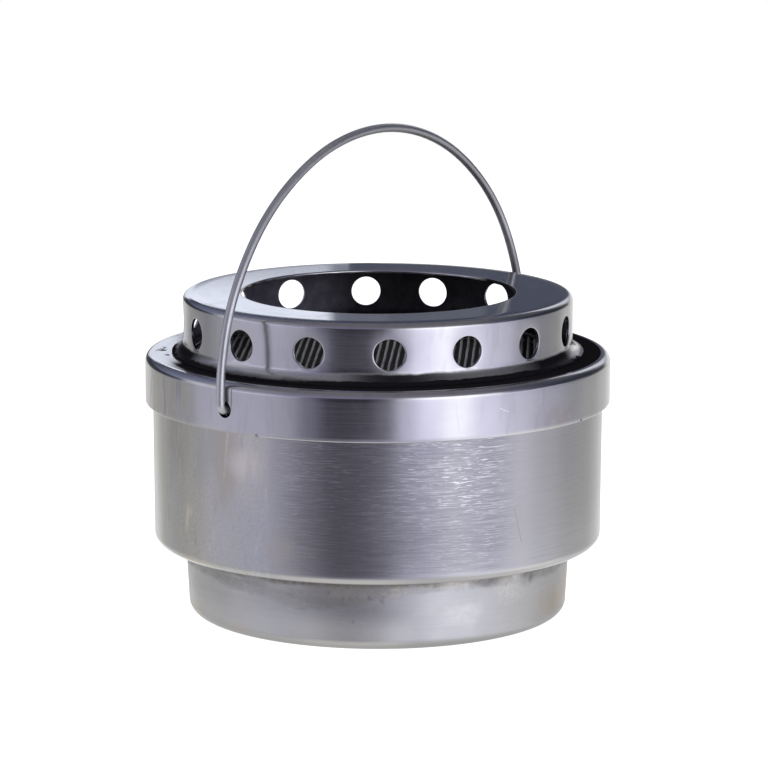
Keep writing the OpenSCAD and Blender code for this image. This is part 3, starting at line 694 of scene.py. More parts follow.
# ---------------------------------------------------------------- burner ring
def burner_ring():
    b = Build()
    hc = [math.radians(RING_TURN + 22.5 * i + d) for i, d in enumerate(DRIFT)]
    n_top, n_side, bev = 24, 14, 0.26
    edge = [(hc[i - 1] - (2 * math.pi if i == 0 else 0) + hc[i]) / 2 for i in range(16)]
    edge.append(edge[0] + 2 * math.pi)
    zl, zh = CAP_Z + FLARE_T + FLARE_R, RING_Z - RING_EDGE_R
    segs = [(edge[i], edge[i + 1], n_top, hc[i], HOLE_Z, HOLE_R + bev) for i in range(16)]
    th = np.concatenate([np.linspace(s[0], s[1], n_top + 1)[:-1] for s in segs])

    def ro(z):
        return RING_R

    def ri(z):
        return RING_R - CAP_T

    b.band(ro, zl, zh, n_side, segs, 0)
    b.band(ri, zl, zh, n_side, segs, 1)
    for s in segs:
        b.hole(ro, ri, s, zl, zh, n_side, zl, zh, bev, 0, 1)
    t = CAP_T
    # the pressed top eases down a little before it turns over the edge
    ease, r1 = 0.14, RING_R - RING_EDGE_R
    top = [(r1 - 0.16 + 2.26 * math.cos(a), zh + (RING_EDGE_R - ease + 0.005) * math.sin(a)) for a in np.linspace(0, math.radians(85.9), 17)]
    top += [(r, RING_Z - ease * ((r - 57) / (r1 - 57)) ** 2) for r in np.linspace(r1, 57, 9)[1:]]
    top += line((57, RING_Z), (OPEN_R + 0.5, RING_Z), 6)[1:]
    top += arc(OPEN_R + 0.5, RING_Z - 0.5, 0.5, 90, 180, 6)[1:]
    top += arc(OPEN_R + 0.3, RING_Z - t + 0.3, 0.3, 180, 270, 5)
    b.lathe(top, th, 0)
    under = line((OPEN_R + 0.3, RING_Z - t), (RING_R - RING_EDGE_R, RING_Z - t), 6)
    under += arc(RING_R - RING_EDGE_R, RING_Z - RING_EDGE_R, RING_EDGE_R - t, 90, 0, 6)[1:]
    b.lathe(under, th, 1)
    # flared foot
    foot = arc(RING_R + FLARE_R, zl, FLARE_R, 180, 264, 14)
    foot += arc(RING_R + FLARE_R - 0.2, CAP_Z + FLARE_T - 0.2, 0.2, 70, 0, 4)
    foot += arc(RING_R + FLARE_R - 0.12, CAP_Z + 0.12, 0.12, 0, -90, 3)
    ic = RING_R - t + FLARE_R + FLARE_T
    foot += [(ic, CAP_Z)]
    b.lathe(foot, th, 0)
    b.lathe(arc(ic, zl, FLARE_R + FLARE_T, 270, 180, 14), th, 1)
    uneven = waves(7, 0.035, 3, 2, 9, (14, 40))

    def warp(v):
        """Punching draws the wall in a little round each hole."""
        v = uneven(v)
        th, r = np.arctan2(v[:, 1], v[:, 0]), np.hypot(v[:, 0], v[:, 1])
        away = np.full(len(v), 99.0)
        for c in hc:
            da = (th - c + math.pi) % (2 * math.pi) - math.pi
            away = np.minimum(away, np.hypot(da * RING_R, v[:, 2] - HOLE_Z) - HOLE_R)
        f = np.clip(1 - np.maximum(away, 0) / 3.2, 0, 1) ** 2 * (v[:, 2] > zl) * (v[:, 2] < zh) * 0.09
        s = (r - f) / np.maximum(r, 1e-9)
        return np.stack([v[:, 0] * s, v[:, 1] * s, v[:, 2]], 1)

    return place(b.obj("burner_ring_shell", [M_POL, M_INNER_SHADE], warp), STOVE, "burner_ring")


# ---------------------------------------------------------------- skirted cap
def skirted_cap():
    b = Build()
    bev, n_side = 0.18, 12
    zl, zh = SKIRT_Z + 0.4, CAP_Z - CAP_EDGE_R
    zl_in = SKIRT_Z + CAP_T + 0.3
    d = math.radians
    segs = [(d(-10), d(10), 20, 0.0, PIVOT_Z, BAIL_HOLE_R + bev), (d(10), d(170), 160), (d(170), d(190), 20, math.pi, PIVOT_Z, BAIL_HOLE_R + bev), (d(190), d(350), 160)]
    th = np.concatenate([np.linspace(s[0], s[1], s[2] + 1)[:-1] for s in segs])

    def ro(z):
        return SKIRT_R

    def ri(z):
        return SKIRT_R - CAP_T

    b.band(ro, zl, zh, n_side, segs, 0)
    b.band(ri, zl_in, zh, n_side, segs, 0)
    for s in segs:
        if len(s) > 3:
            b.hole(ro, ri, s, zl, zh, n_side, zl_in, zh, bev)
    bore = RING_R - 2.8
    cx = SKIRT_R - CAP_EDGE_R
    top = arc(cx, zh, CAP_EDGE_R, 0, 90, 14)
    top += line((cx, CAP_Z), (bore + 0.3, CAP_Z), 5)[1:]
    top += arc(bore + 0.3, CAP_Z - 0.3, 0.3, 90, 180, 4)[1:]
    top += arc(bore + 0.3, CAP_UNDER + 0.3, 0.3, 180, 270, 4)
    top += line((bore + 0.3, CAP_UNDER), (cx, CAP_UNDER), 4)[1:]
    top += arc(cx, zh, CAP_EDGE_R - CAP_T, 90, 0, 8)[1:]
    b.lathe(top, th, 0)
    lip = drum_r(SKIRT_Z) + 0.35
    low = arc(SKIRT_R - 0.4, zl, 0.4, 0, -90, 8)
    low += line((SKIRT_R - 0.4, SKIRT_Z), (lip + 0.25, SKIRT_Z), 1)[1:]
    low += arc(lip + 0.25, SKIRT_Z + 0.25, 0.25, 270, 180, 4)[1:]
    low += arc(lip + 0.25, SKIRT_Z + CAP_T - 0.25, 0.25, 180, 90, 4)
    low += arc(SKIRT_R - CAP_T - 0.3, zl_in, 0.3, -90, 0, 4)
    b.lathe(low, th, 0)
    return place(b.obj("skirted_cap_shell", [M_POL], waves(7, 0.03, 5, 2, 9, (20, 50))), STOVE, "skirted_cap")


# ---------------------------------------------------------------- drum
def drum_shell():
    b = Build()
    bev, n_side = 0.15, 12
    d = math.radians
    segs = [(d(-10), d(10), 20, 0.0, PIVOT_Z, BAIL_HOLE_R + bev), (d(10), d(170), 160), (d(170), d(190), 20, math.pi, PIVOT_Z, BAIL_HOLE_R + bev), (d(190), d(350), 160)]
    th = np.concatenate([np.linspace(s[0], s[1], s[2] + 1)[:-1] for s in segs])
    zl, zh = 70.0, 81.2

    def ri(z):
        return drum_r(z) - BODY_T

    b.band(drum_r, zl, zh, n_side, segs, 0)
    b.band(ri, zl, zh, n_side, segs, 0)
    for s in segs:
        if len(s) > 3:
            b.hole(drum_r, ri, s, zl, zh, n_side, zl, zh, bev)
    e = 0.25
    top = [(drum_r(zh), zh)] + arc(drum_r(DRUM_TOP_Z) - e, DRUM_TOP_Z - e, e, 0, 90, 4)
    top += arc(ri(DRUM_TOP_Z) + e, DRUM_TOP_Z - e, e, 90, 180, 4) + [(ri(zh), zh)]
    b.lathe(top, th, 0)
    bore = pot_r(DRUM_Z) + 0.3
    zc = DRUM_Z + DRUM_EDGE_R
    al = math.atan(DRUM_TAN)
    xc = drum_r(zc) - DRUM_EDGE_R / math.cos(al)
    low = line((drum_r(zl), zl), (xc + DRUM_EDGE_R * math.cos(al), zc - DRUM_EDGE_R * math.sin(al)), 24)
    low += arc(xc, zc, DRUM_EDGE_R, -math.degrees(al), -90, 14)[1:]
    low += line((xc, DRUM_Z), (bore + 0.2, DRUM_Z), 3)[1:]
    low += arc(bore + 0.2, DRUM_Z + 0.2, 0.2, 270, 180, 3)[1:]
    low += arc(bore + 0.2, DRUM_Z + BODY_T - 0.2, 0.2, 180, 90, 3)
    low += line((bore + 0.2, DRUM_Z + BODY_T), (xc, DRUM_Z + BODY_T), 3)[1:]
    low += arc(xc, zc, DRUM_EDGE_R - BODY_T, -90, -math.degrees(al), 10)[1:]
    low += line((ri(zc), zc), (ri(zl), zl), 24)[1:]
    b.lathe(low, th, 0)
    return place(b.obj("drum_shell_brushed", [M_BRUSH], waves(9, 0.09, 11, 2, 8, (25, 70))), STOVE, "drum_shell")


# ---------------------------------------------------------------- fuel pot
def fuel_pot():
    b = Build()
    th = np.linspace(0, 2 * math.pi, 361)[:-1]
    al, deg = POT_DRAFT, math.degrees(POT_DRAFT)
    zc = POT_FOOT_R
    xc = pot_r(zc) - POT_FOOT_R / math.cos(al)
    ri_ = POT_FOOT_R - BODY_T
    zf = CAP_UNDER - BODY_T
    rim = SKIRT_R - CAP_T - 1.6
    prof = [(0.0, 1.2)] + line((3, 1.2), (42.5, 1.2), 6) + arc(42.5, -0.3, 1.5, 90, 67, 3)[1:]
    prof += arc(48.0, 1.5, 1.5, 247, 270, 3)
    prof += line((48.0, 0), (xc, 0), 2)[1:]
    prof += arc(xc, zc, POT_FOOT_R, -90, -deg, 16)[1:]
    prof += line((pot_r(zc - POT_FOOT_R * math.sin(al)), zc - POT_FOOT_R * math.sin(al)), (pot_r(zf - 0.8), zf - 0.8), 20)[1:]
    prof += arc(pot_r(zf) + 0.8, zf - 0.8, 0.8, 180, 90, 5)[1:]
    prof += line((pot_r(zf) + 0.8, zf), (rim - 0.35, zf), 2)[1:]
    prof += arc(rim - 0.35, zf + 0.4, 0.4, -90, 90, 6)[1:]
    prof += line((rim - 0.35, CAP_UNDER), (pot_in(zf) + 1.6, CAP_UNDER), 2)[1:]
    prof += arc(pot_in(zf) + 1.6, zf - 0.8, 1.6, 90, 180, 6)[1:]
    zi, xi = BODY_T + ri_, xc
    prof += line((pot_in(zf - 0.8), zf - 0.8), (pot_in(zi), zi), 12)[1:]
    prof += arc(xi, zi, ri_, -deg, -90, 12)[1:]
    prof += [(49.0, BODY_T), (47.5, BODY_T + 0.15), (44.0, BODY_T + 1.12), (42.5, BODY_T + 1.2), (3, BODY_T + 1.2), (0.0, BODY_T + 1.2)]
    b.lathe(prof, th, 0)
    return place(b.obj("fuel_pot_drawn", [M_SATIN], waves(8, 0.05, 21, 2, 7, (18, 50))), STOVE, "fuel_pot")


# ---------------------------------------------------------------- bail
def bail_handle():
    pts = [(TIP_R + t * (BAIL_R - BEND_R - TIP_R), PIVOT_Z) for t in np.linspace(0, 1, 7)[:-1]]
    pts += [(BAIL_R - BEND_R + BEND_R * math.sin(a), PIVOT_Z + BEND_R - BEND_R * math.cos(a)) for a in np.linspace(0, math.pi / 2, 13)]
    zc = PIVOT_Z + BAIL_LEG
    pts += [(BAIL_R, z) for z in np.linspace(PIVOT_Z + BEND_R, zc, 4)[1:-1]]
    arch = [(BAIL_R * math.cos(a), zc + BAIL_R * math.sin(a)) for a in np.linspace(0, math.pi, 181)]
    pts = pts + arch + [(-x, z) for x, z in pts[::-1]]
    p = np.array([(x, 0.0, z) for x, z in pts])
    # a hand-bent wire is never quite true: a few hundredths sideways along the arch
    s = np.concatenate([[0], np.cumsum(np.linalg.norm(np.diff(p, axis=0), axis=1))])
    fade = np.clip((p[:, 2] - zc) / 25, 0, 1)
    p[:, 1] += fade * (0.10 * np.sin(s * 0.061 + 1.1) + 0.05 * np.sin(s * 0.17 + 0.4))
    tan = np.gradient(p, axis=0)
    tan /= np.linalg.norm(tan, axis=1)[:, None]
    side = np.cross(tan, [0, 1, 0])
    side /= np.linalg.norm(side, axis=1)[:, None]
    up = np.cross(side, tan)
    n = 24
    a = np.linspace(0, 2 * math.pi, n + 1)[:-1]
    # cut ends, eased
    rows = [(0, k, r) for k, r in ((0.0, 0.8), (0.12, 1.1), (0.3, 1.3), (0.6, 1.4))]
    rad = np.full(len(p), WIRE_R)
    p0, p1 = p[0], p[-1]
    head = [(p0 + tan[0] * k, tan[0], side[0], up[0], r) for k, r in ((0, 0.75), (0.1, 1.08), (0.28, 1.3), (0.55, 1.4))]
    tail = [(p1 - tan[-1] * k, tan[-1], side[-1], up[-1], r) for k, r in ((0.55, 1.4), (0.28, 1.3), (0.1, 1.08), (0, 0.75))]
    body = [(p[i], tan[i], side[i], up[i], rad[i]) for i in range(1, len(p) - 1)]
    rows = head + body + tail
    v, us = [], []
    length = 0.0
    for i, (q, t, sd, u, r) in enumerate(rows):
        if i:
            length += float(np.linalg.norm(q - rows[i - 1][0]))
        v.append(q + r * (np.cos(a)[:, None] * sd + np.sin(a)[:, None] * u))
        us.append(length)
    v = np.concatenate(v)
    m = len(rows)
    faces, uvs = [], []
    for i in range(m - 1):
        for j in range(n):
            j1 = (j + 1) % n
            faces.append((i * n + j, (i + 1) * n + j, (i + 1) * n + j1, i * n + j1))
            uvs += [(us[i], j), (us[i + 1], j), (us[i + 1], j + 1), (us[i], j + 1)]
    faces.append(tuple(range(n)))
    uvs += [(us[0], j) for j in range(n)]
    faces.append(tuple((m - 1) * n + j for j in range(n - 1, -1, -1)))
    uvs += [(us[-1], j) for j in range(n - 1, -1, -1)]
    me = bpy.data.meshes.new("bail_wire")
    me.from_pydata((v * MM).tolist(), [], faces)
    lay = me.uv_layers.new(name="wire")
    lay.data.foreach_set("uv", np.array([(u * 0.01, w / n) for u, w in uvs], np.float32).ravel())
    bm = bmesh.new()
    bm.from_mesh(me)
    bmesh.ops.recalc_face_normals(bm, faces=bm.faces)
    bm.to_mesh(me)
    bm.free()
    return place(finish_mesh(me, "bail_wire", [M_WIRE], 60), BAIL, "bail_handle")


# ---------------------------------------------------------------- wire screen
def gauze_screen():
    """Stout straight wires one way, tied near the rim by two fine wires that run across under them."""
    pitch, stout, thin, sides = 2.2, 0.44, 0.12, 8
    turn = math.radians(36.6)
    big = pot_in(CAP_UNDER - 2.8) - 0.3 - 0.75
    ca, sa = math.cos(turn), math.sin(turn)
    ang = np.linspace(0, 2 * math.pi, sides + 1)[:-1] + 0.2
    b = Build()
    cnt = int(big / pitch)
    for way in (0, 1):
        gap = pitch if way == 0 else 39.5
        num = cnt if way == 0 else 1
        for j in range(-num, num + 1):
            off = j * gap
            half = math.sqrt(max(big * big - off * off, 0)) - 0.2
            if half < 3 or (way == 1 and j == 0):
                continue
            if way == 0:
                n = max(8, int(2 * half / 1.5))
                x = np.linspace(-half, half, n + 1)
                z, dz, r = np.zeros(n + 1), np.zeros(n + 1), stout
                y = off + 0.06 * np.sin(x * 0.09 + j * 1.7) + 0.03 * np.sin(x * 0.31 + j * 0.6)
            else:
                n = max(8, int(2 * half / 1.5))
                x = np.linspace(-half, half, n + 1)
                z, dz, r = np.full(n + 1, -(stout + thin - 0.03)), np.zeros(n + 1), thin
                y = off + 0.04 * np.sin(x * 0.2 + j * 0.9)
            tl = np.sqrt(1 + dz * dz)
            nz, nx = 1 / tl, -dz / tl
            p = np.empty((n + 1, sides, 3))
            c, s = np.cos(ang) * r, np.sin(ang) * r
            px = x[:, None] + nx[:, None] * s
            py = y[:, None] + c
            pz = z[:, None] + nz[:, None] * s
            if way:
                px, py = -py, px
            p[..., 0] = px * ca - py * sa
            p[..., 1] = px * sa + py * ca
            p[..., 2] = pz + GAUZE_MID
            b.grid(p, 0, wrap_v=True)
    v, f = np.concatenate(b.v) * MM, np.concatenate(b.f)
    me = bpy.data.meshes.new("gauze_weave")
    me.from_pydata(v.tolist(), [], f.tolist())
    bm = bmesh.new()
    bm.from_mesh(me)
    bmesh.ops.holes_fill(bm, edges=[e for e in bm.edges if e.is_boundary], sides=sides)
    bmesh.ops.recalc_face_normals(bm, faces=bm.faces)
    bm.to_mesh(me)
    bm.free()
    return place(finish_mesh(me, "gauze_weave", [M_GAUZE], 70), STOVE, "gauze_screen")


# ---------------------------------------------------------------- fibre pads
def pad(name, node, mat, prof, lump, seed):
    """A round pad of packed fibre: its faces and edge are lumpy, always inwards of the profile."""
    g = np.random.default_rng(seed)
    th = np.linspace(0, 2 * math.pi, 145)[:-1]
    b = Build()
    b.lathe(prof, th, 0)
    k = g.normal(size=(26, 3)) * 0.16
    ph = g.uniform(0, 6.28, 26)
    mid = np.array([0, 0, (min(z for _, z in prof) + max(z for _, z in prof)) / 2])

    def warp(v):
        w = np.sin(v @ k.T + ph).mean(1) * 2.4
        w = np.clip(0.5 + w, 0, 1)[:, None] * lump
        q = v - mid
        out = v.copy()
        rr = np.maximum(np.hypot(q[:, 0], q[:, 1]), 1e-6)
        edge = rr > 0.97 * rr.max()
        out[:, 0] -= np.where(edge, q[:, 0] / rr * w[:, 0], 0)
        out[:, 1] -= np.where(edge, q[:, 1] / rr * w[:, 0], 0)
        out[:, 2] -= np.sign(q[:, 2]) * w[:, 0] * (np.abs(q[:, 2]) > 0.45 * (q[:, 2].max() - q[:, 2].min()))
        return out

    o = place(b.obj(name, [mat], warp, 80), STOVE, node)
    return o


def disc_profile(r0, z0, r1, z1, ease, steps=14):
    pr = [(0.0, z0)] + [(r0 * t, z0) for t in np.linspace(0.05, 1, steps)[:-1]]
    pr += arc(r0 - ease, z0 + ease, ease, -90, 0, 4)
    pr += [(r0 + (r1 - r0) * t, z0 + ease + (z1 - z0 - 2 * ease) * t) for t in np.linspace(0, 1, 7)[1:-1]]
    pr += arc(r1 - ease, z1 - ease, ease, 0, 90, 4)
    pr += [(r1 * t, z1) for t in np.linspace(1, 0.05, steps)[1:]] + [(0.0, z1)]
    return pr


def fibre():
    felt_low = RIM_LOW - 6
    r = pot_in(felt_low) - 0.3
    low = [(0.0, felt_low)] + [(r * t, felt_low) for t in np.linspace(0.05, 1, 14)[:-1]]
    low += arc(r - 0.8, felt_low + 0.8, 0.8, -90, 0, 4) + [(r, felt_low + 3)] + arc(r - 0.4, RIM_LOW - 0.4, 0.4, 0, 90, 3)
    rc = pot_in(CAP_UNDER - 2.8) - 0.3 - 3.0
    low += [(rc + 0.4, RIM_LOW)] + arc(rc - 0.3, RIM_LOW + 0.2, 0.3, 0, 90, 3)
    low += [(rc * t, RIM_LOW + 0.5) for t in np.linspace(0.97, 0.03, 24)] + [(0.0, RIM_LOW + 0.5)]
    pad("wick_felt_pad", "wick_felt", M_FELT, low, 0.35, 31)
    pad("wadding_top", "upper_wadding", M_WAD, disc_profile(pot_in(52) - 0.3, 52.1, pot_in(felt_low) - 0.3, felt_low - 0.1, 2.0), 0.9, 32)
    pad("wadding_mid", "middle_wadding", M_WAD, disc_profile(pot_in(28) - 0.3, 28.1, pot_in(52) - 0.3, 51.9, 2.0), 0.9, 33)
    pad("wadding_low", "lower_wadding", M_WAD, disc_profile(pot_in(4) - 0.5, 2.15, pot_in(28) - 0.3, 27.9, 3.2), 0.9, 34)


# ---------------------------------------------------------------- seam and tacks
def seam():
    b = Build()
    th = np.linspace(0, 2 * math.pi, 361)[:-1]
    bore = pot_r(DRUM_Z) + 0.3
    top = DRUM_Z + BODY_T - 0.05
    prof = [(pot_r(top) + 0.02, top), (bore - 0.02, top), (bore - 0.02, DRUM_Z - 0.02)]
    prof += [(bore + 0.9, DRUM_Z - 0.02), (bore + 0.72, DRUM_Z - 0.3), (bore + 0.38, DRUM_Z - 0.66), (bore + 0.05, DRUM_Z - 0.98), (pot_r(DRUM_Z - 1.2) + 0.02, DRUM_Z - 1.2)]
    b.lathe(prof, th, 0, closed=True)
    g = np.random.default_rng(41)
    ks, ph = g.integers(20, 90, 9), g.uniform(0, 6.28, 9)

    def warp(v):
        t = np.arctan2(v[:, 1], v[:, 0])
        w = sum(np.sin(k * t + p) for k, p in zip(ks, ph)) / 9 * 0.28
        out = v.copy()
        free = (v[:, 2] < DRUM_Z - 0.1) & (v[:, 2] > DRUM_Z - 1.1)
        out[:, 2] += np.where(free, w, 0)
        return out

    return place(b.obj("pot_seam_bead", [M_BRAZE], warp, 60), STOVE, "pot_seam_braze")


def tacks():
    b = Build()
    g = np.random.default_rng(43)
    for a in (8.5, 98, 189.4, 277.6):
        ca, sa = math.cos(math.radians(a)), math.sin(math.radians(a))
        lat = np.linspace(-math.pi / 2, math.pi / 2, 13)
        lon = np.linspace(0, 2 * math.pi, 25)[:-1]
        ph = g.uniform(0, 6.28, 3)
        la, lo = np.meshgrid(lat, lon, indexing="ij")
        w = 1 + 0.07 * np.sin(3 * lo + ph[0]) + 0.06 * np.sin(2 * la * 3 + ph[1]) * np.sin(2 * lo + ph[2]) * np.cos(la)
        x = 0.7 * np.sin(la) * w
        y = 0.95 * np.cos(la) * np.cos(lo) * w
        z = 0.7 * np.cos(la) * np.sin(lo) * w
        rx, zz = 74.44 + x, SKIRT_Z + 0.5 + z
        p = np.stack([rx * ca - y * sa, rx * sa + y * ca, zz], -1)
        b.grid(p, 0, wrap_v=True)
    return place(b.obj("cap_tack_beads", [M_WELD], None, 70), STOVE, "cap_tack_welds")


burner_ring()
skirted_cap()
drum_shell()
fuel_pot()
bail_handle()
gauze_screen()
fibre()
seam()
tacks()

# CAD nodes that stay
rim = frame["nodes"]["gauze_rim"]
rim.data.materials.clear()
rim.data.materials.append(M_GAUZE)

# ---------------------------------------------------------------- floor, light and camera
RIGHT = Vector((math.sin(PSI), -math.cos(PSI), 0))
FWD = Vector((math.cos(PSI), math.sin(PSI), 0))


def seen(x, y, z):
    """A point given as right of, beyond and above the foot's centre, as the camera sees it, in metres."""
    return RIGHT * x + FWD * y + Vector((0, 0, z))


def floor():
    m = bpy.data.materials.new("floor_paper")
    m.use_nodes = True
    t = m.node_tree
    bs = t.nodes["Principled BSDF"]
    no = t.nodes.new("ShaderNodeTexNoise")
    no.inputs["Scale"].default_value = 30
    ra = t.nodes.new("ShaderNodeMapRange")
    for i, q in zip((1, 2, 3, 4), (0.3, 0.7, 0.90, 0.93)):
        ra.inputs[i].default_value = q
    co = t.nodes.new("ShaderNodeCombineColor")
    t.links.new(no.outputs[0], ra.inputs[0])
    for s in co.inputs:
        t.links.new(ra.outputs[0], s)
    t.links.new(co.outputs[0], bs.inputs["Base Color"])
    bs.inputs["Roughness"].default_value = 0.9
    bs.inputs["Specular IOR Level"].default_value = 0.1
    bs.inputs["Emission Color"].default_value = (1, 1, 1, 1)
    bs.inputs["Emission Strength"].default_value = 0.94
    bm = bmesh.new()
    bmesh.ops.create_circle(bm, cap_ends=True, radius=1.2, segments=128)
    me = bpy.data.meshes.new("floor")
    bm.to_mesh(me)
    bm.free()
    me.materials.append(m)
    o = bpy.data.objects.new("floor", me)
    o.location = seen(0, 0.0, -0.0004)
    o.visible_glossy = False
    bpy.context.scene.collection.objects.link(o)


def world():
    w = bpy.data.worlds.new("studio")
    bpy.context.scene.world = w
    w.use_nodes = True
    t = w.node_tree
    t.nodes.clear()
    out = t.nodes.new("ShaderNodeOutputWorld")
    bg = t.nodes.new("ShaderNodeBackground")
    t.links.new(bg.outputs[0], out.inputs[0])
    tc = t.nodes.new("ShaderNodeTexCoord")
    mp = t.nodes.new("ShaderNodeMapping")
    mp.vector_type = "POINT"
    # turned so that +X points from the stove to the camera
    mp.inputs["Rotation"].default_value = (0, 0, -(math.pi + PSI))
    t.links.new(tc.outputs["Generated"], mp.inputs[0])
    sp = t.nodes.new("ShaderNodeSeparateXYZ")
    t.links.new(mp.outputs[0], sp.inputs[0])

    def mth(op, a, b=None, clamp=False):
        nd = t.nodes.new("ShaderNodeMath")
        nd.operation = op
        nd.use_clamp = clamp
        for s, q in zip(nd.inputs, (a, b)):
            if q is None:
                continue
            if isinstance(q, bpy.types.NodeSocket):
                t.links.new(q, s)
            else:
                s.default_value = q
        return nd.outputs[0]

    ang = mth("ADD", mth("DIVIDE", mth("ARCTAN2", sp.outputs[1], sp.outputs[0]), 2 * math.pi), 0.5)

    def ramp(fac, stops):
        nd = t.nodes.new("ShaderNodeValToRGB")
        nd.color_ramp.interpolation = "EASE"
        el = nd.color_ramp.elements
        while len(el) > 1:
            el.remove(el[-1])
        for i, (p, c) in enumerate(stops):
            e = el[0] if i == 0 else el.new(p)
            e.position = p
            e.color = (*c, 1)
        t.links.new(fac, nd.inputs[0])
        return nd.outputs[0]

    def lit(v, tint=(1, 1, 1)):
        return tuple(v * q for q in tint)

    neu, cool, lav, nav, sla = (1, 1, 0.99), (0.9, 0.91, 1), (0.82, 0.81, 1), (0.74, 0.72, 1), (0.64, 0.70, 1)

    def deg(stops):
        return [(a / 360 + 0.5, lit(v, c)) for a, v, c in stops]

    def hue(a):
        for lim, c in ((-130, neu), (-100, cool), (-40, lav), (4, nav), (30, lav), (50, cool), (100, lav), (120, cool)):
            if a < lim:
                return c
        return neu

    def dusk(a):
        for lim, c in ((-110, sla), (-80, cool), (-50, lav), (8, nav), (64, cool), (100, nav)):
            if a < lim:
                return c
        return cool if 146 < a < 172 else sla

    def band(stops, tint):
        return ramp(ang, deg([(a, v, tint(a)) for a, v in stops]))

    # the pale table
    table = ramp(ang, deg([(-180, 1.1, neu), (-160, 1.1, neu), (-140, .66, neu), (-100, .60, neu), (-60, .60, cool), (-40, .44, cool), (-20, .34, lav), (0, .48, lav), (20, .78, lav), (42, 1.1, cool), (60, 1.2, cool), (80, 1.12, neu), (100, 1.0, neu), (120, .8, neu), (140, .7, neu), (160, .95, neu), (180, 1.1, neu)]))
    # what the upright walls mirror: soft boxes either side of the dark middle
    wall = band([(-180, .75), (-160, .7), (-140, .44), (-120, .42), (-104, .44), (-95, .64), (-80, .68), (-60, .66), (-46, .56), (-34, .26), (-24, .06), (-18, .035), (-6, .045), (4, .18), (14, .88), (24, 1.45), (40, 1.75), (54, 1.25), (72, .88), (92, .56), (112, .40), (130, .43), (150, .62), (165, .82), (180, .75)], hue)
    # level with the stove
    glow = band([(-180, .10), (-165, .08), (-150, .07), (-130, .06), (-114, .15), (-106, .62), (-96, .85), (-80, .95), (-60, 1.05), (-44, .75), (-34, .28), (-24, .06), (-6, .045), (4, .18), (14, 1.0), (24, 1.8), (40, 2.1), (54, 1.6), (72, 1.05), (92, .62), (110, .25), (130, .10), (146, .12), (156, .8), (168, .95), (180, .5)], lambda a: cool if 4 < a < 64 else hue(a))
    # above it the dim room, with a lighter corner beyond the stove and the ceiling's edge higher up
    room = band([(-180, .125), (-165, .07), (-150, .06), (-125, .08), (-114, .15), (-106, .6), (-96, .8), (-86, .75), (-76, .62), (-60, .62), (-44, .45), (-28, .14), (-10, .08), (4, .12), (12, .6), (20, 1.6), (30, 2.1), (44, 2.1), (58, 1.4), (70, .5), (82, .15), (100, .06), (130, .05), (148, .07), (157, .6), (166, .6), (173, .14), (180, .125)], dusk)
    high = band([(-180, .10), (-168, .08), (-155, .15), (-140, .28), (-120, .42), (-106, .65), (-96, .75), (-80, .62), (-60, .6), (-40, .48), (-20, .3), (0, .28), (10, .5), (20, 1.4), (30, 1.9), (44, 1.9), (58, 1.2), (70, .4), (85, .13), (105, .07), (138, .07), (148, .3), (156, .9), (166, .8), (173, .14), (180, .10)], dusk)
    roof = band([(-180, .18), (-160, .2), (-140, .28), (-115, .36), (-95, .42), (-70, .40), (-40, .34), (-10, .32), (6, .36), (16, .42), (30, .48), (46, .45), (60, .32), (74, .18), (100, .09), (138, .08), (148, .4), (157, 1.0), (166, .9), (174, .25), (180, .18)], dusk)
    ceil = band([(-180, .18), (-160, .2), (-140, .28), (-115, .36), (-95, .42), (-70, .38), (-40, .30), (-10, .26), (6, .27), (30, .29), (60, .24), (80, .16), (110, .11), (150, .13), (180, .18)], dusk)

    def mixc(fac, a, b):
        nd = t.nodes.new("ShaderNodeMix")
        nd.data_type = "RGBA"
        for s, q in zip((nd.inputs[0], nd.inputs[6], nd.inputs[7]), (fac, a, b)):
            if isinstance(q, bpy.types.NodeSocket):
                t.links.new(q, s)
            else:
                s.default_value = q
        return nd.outputs[2]

    def step(v, a, b):
        nd = t.nodes.new("ShaderNodeMapRange")
        nd.interpolation_type = "SMOOTHSTEP"
        t.links.new(v, nd.inputs[0])
        nd.inputs[1].default_value, nd.inputs[2].default_value = a, b
        return nd.outputs[0]

    z = sp.outputs[2]
    col = mixc(step(z, -0.31, -0.17), table, wall)
    col = mixc(step(z, -0.10, -0.03), col, glow)
    col = mixc(step(z, 0.08, 0.10), col, room)
    col = mixc(step(z, 0.185, 0.23), col, high)
    col = mixc(step(z, 0.34, 0.42), col, roof)
    col = mixc(step(z, 0.48, 0.57), col, ceil)
    col = mixc(step(z, 0.7, 0.9), col, (0.185, 0.18, 0.20, 1))
    col = mixc(step(mth("MULTIPLY", z, -1.0), 0.45, 0.75), col, (0.82, 0.81, 0.79, 1))
    lp = t.nodes.new("ShaderNodeLightPath")
    col = mixc(lp.outputs["Is Camera Ray"], col, (1.0, 1.0, 1.0, 1))
    t.links.new(col, bg.inputs[0])
    bg.inputs[1].default_value = 1.0


def area(name, where, aim, wide, high, radiance, tint=(1, 1, 1)):
    li = bpy.data.lights.new(name, "AREA")
    li.shape = "RECTANGLE"
    li.size, li.size_y = wide, high
    li.energy = radiance * math.pi * wide * high
    li.color = tint
    o = bpy.data.objects.new(name, li)
    o.location = where
    o.rotation_mode = "QUATERNION"
    o.rotation_quaternion = (aim - where).to_track_quat("-Z", "Y")
    o.visible_camera = False
    bpy.context.scene.collection.objects.link(o)
    return o


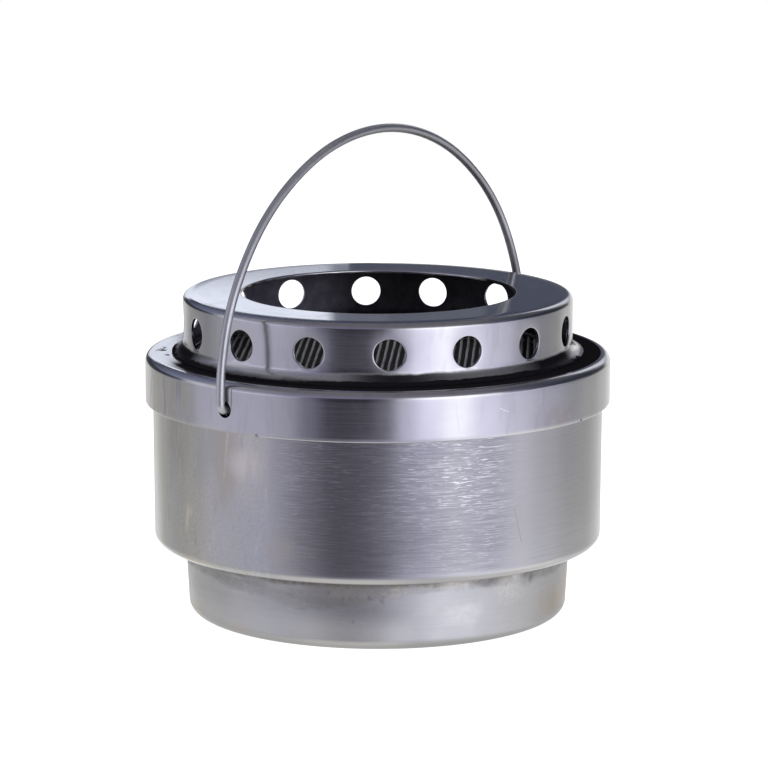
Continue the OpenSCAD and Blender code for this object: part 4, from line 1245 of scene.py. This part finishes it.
def lights():
    # upright soft box beyond the stove on the left, which the flat top mirrors
    for i, (edge, radiance, z, high) in enumerate(((-0.0205, 0.5, 0.1765, 0.041), (-0.0185, 0.5, 0.1765, 0.041), (0.004, 0.05, 0.1815, 0.031), (0.045, 0.075, 0.1815, 0.031))):
        wide = edge + 0.17
        area("soft_left_%d" % i, seen(edge - wide / 2, 0.36 + 0.004 * i, z), seen(edge - wide / 2, 0, z), wide, high, radiance, (0.85, 0.90, 1.0))
    # its low end, which the shoulder mirrors
    area("soft_left_mid", seen(-0.091, 0.362, 0.135), seen(-0.091, 0, 0.135), 0.158, 0.04, 0.34, (0.85, 0.90, 1.0))
    area("soft_left_low", seen(-0.127, 0.356, 0.1275), seen(-0.127, 0, 0.1275), 0.09, 0.055, 0.6, (0.88, 0.92, 1.0))
    # fills, kept out of the mirror finish
    top = area("fill_top", seen(0.05, -0.05, 0.75), seen(0, 0, 0.08), 0.45, 0.45, 2.4)
    top.visible_glossy = False
    front = area("fill_front", seen(0.38, -0.58, 0.55), seen(-0.02, 0.04, 0.09), 0.22, 0.22, 5.6)
    front.visible_glossy = False
    left = area("fill_left", seen(-0.52, -0.34, 0.5), seen(0.02, 0.03, 0.085), 0.22, 0.22, 6.0)
    left.visible_glossy = False


def camera():
    f_px, pitch, zt, roll = 4000.0, math.radians(10.491), 0.07348, math.radians(0.10)
    dist = 1.2938
    cam = bpy.data.cameras.new("camera")
    cam.sensor_width = 36
    cam.lens = f_px / 768 * 36
    cam.shift_x = 6.3 / 768
    cam.clip_start, cam.clip_end = 0.05, 50
    o = bpy.data.objects.new("camera", cam)
    o.location = seen(0, -dist * math.cos(pitch), zt + dist * math.sin(pitch))
    o.rotation_mode = "QUATERNION"
    o.rotation_quaternion = (seen(0, 0, zt) - o.location).to_track_quat("-Z", "Y") @ Quaternion((0, 0, 1), roll)
    bpy.context.scene.collection.objects.link(o)
    bpy.context.scene.camera = o


floor()
world()
lights()
camera()
bpy.context.scene.view_settings.view_transform = "Standard"
bpy.context.scene.view_settings.look = "None"

bpy.context.view_layer.update()
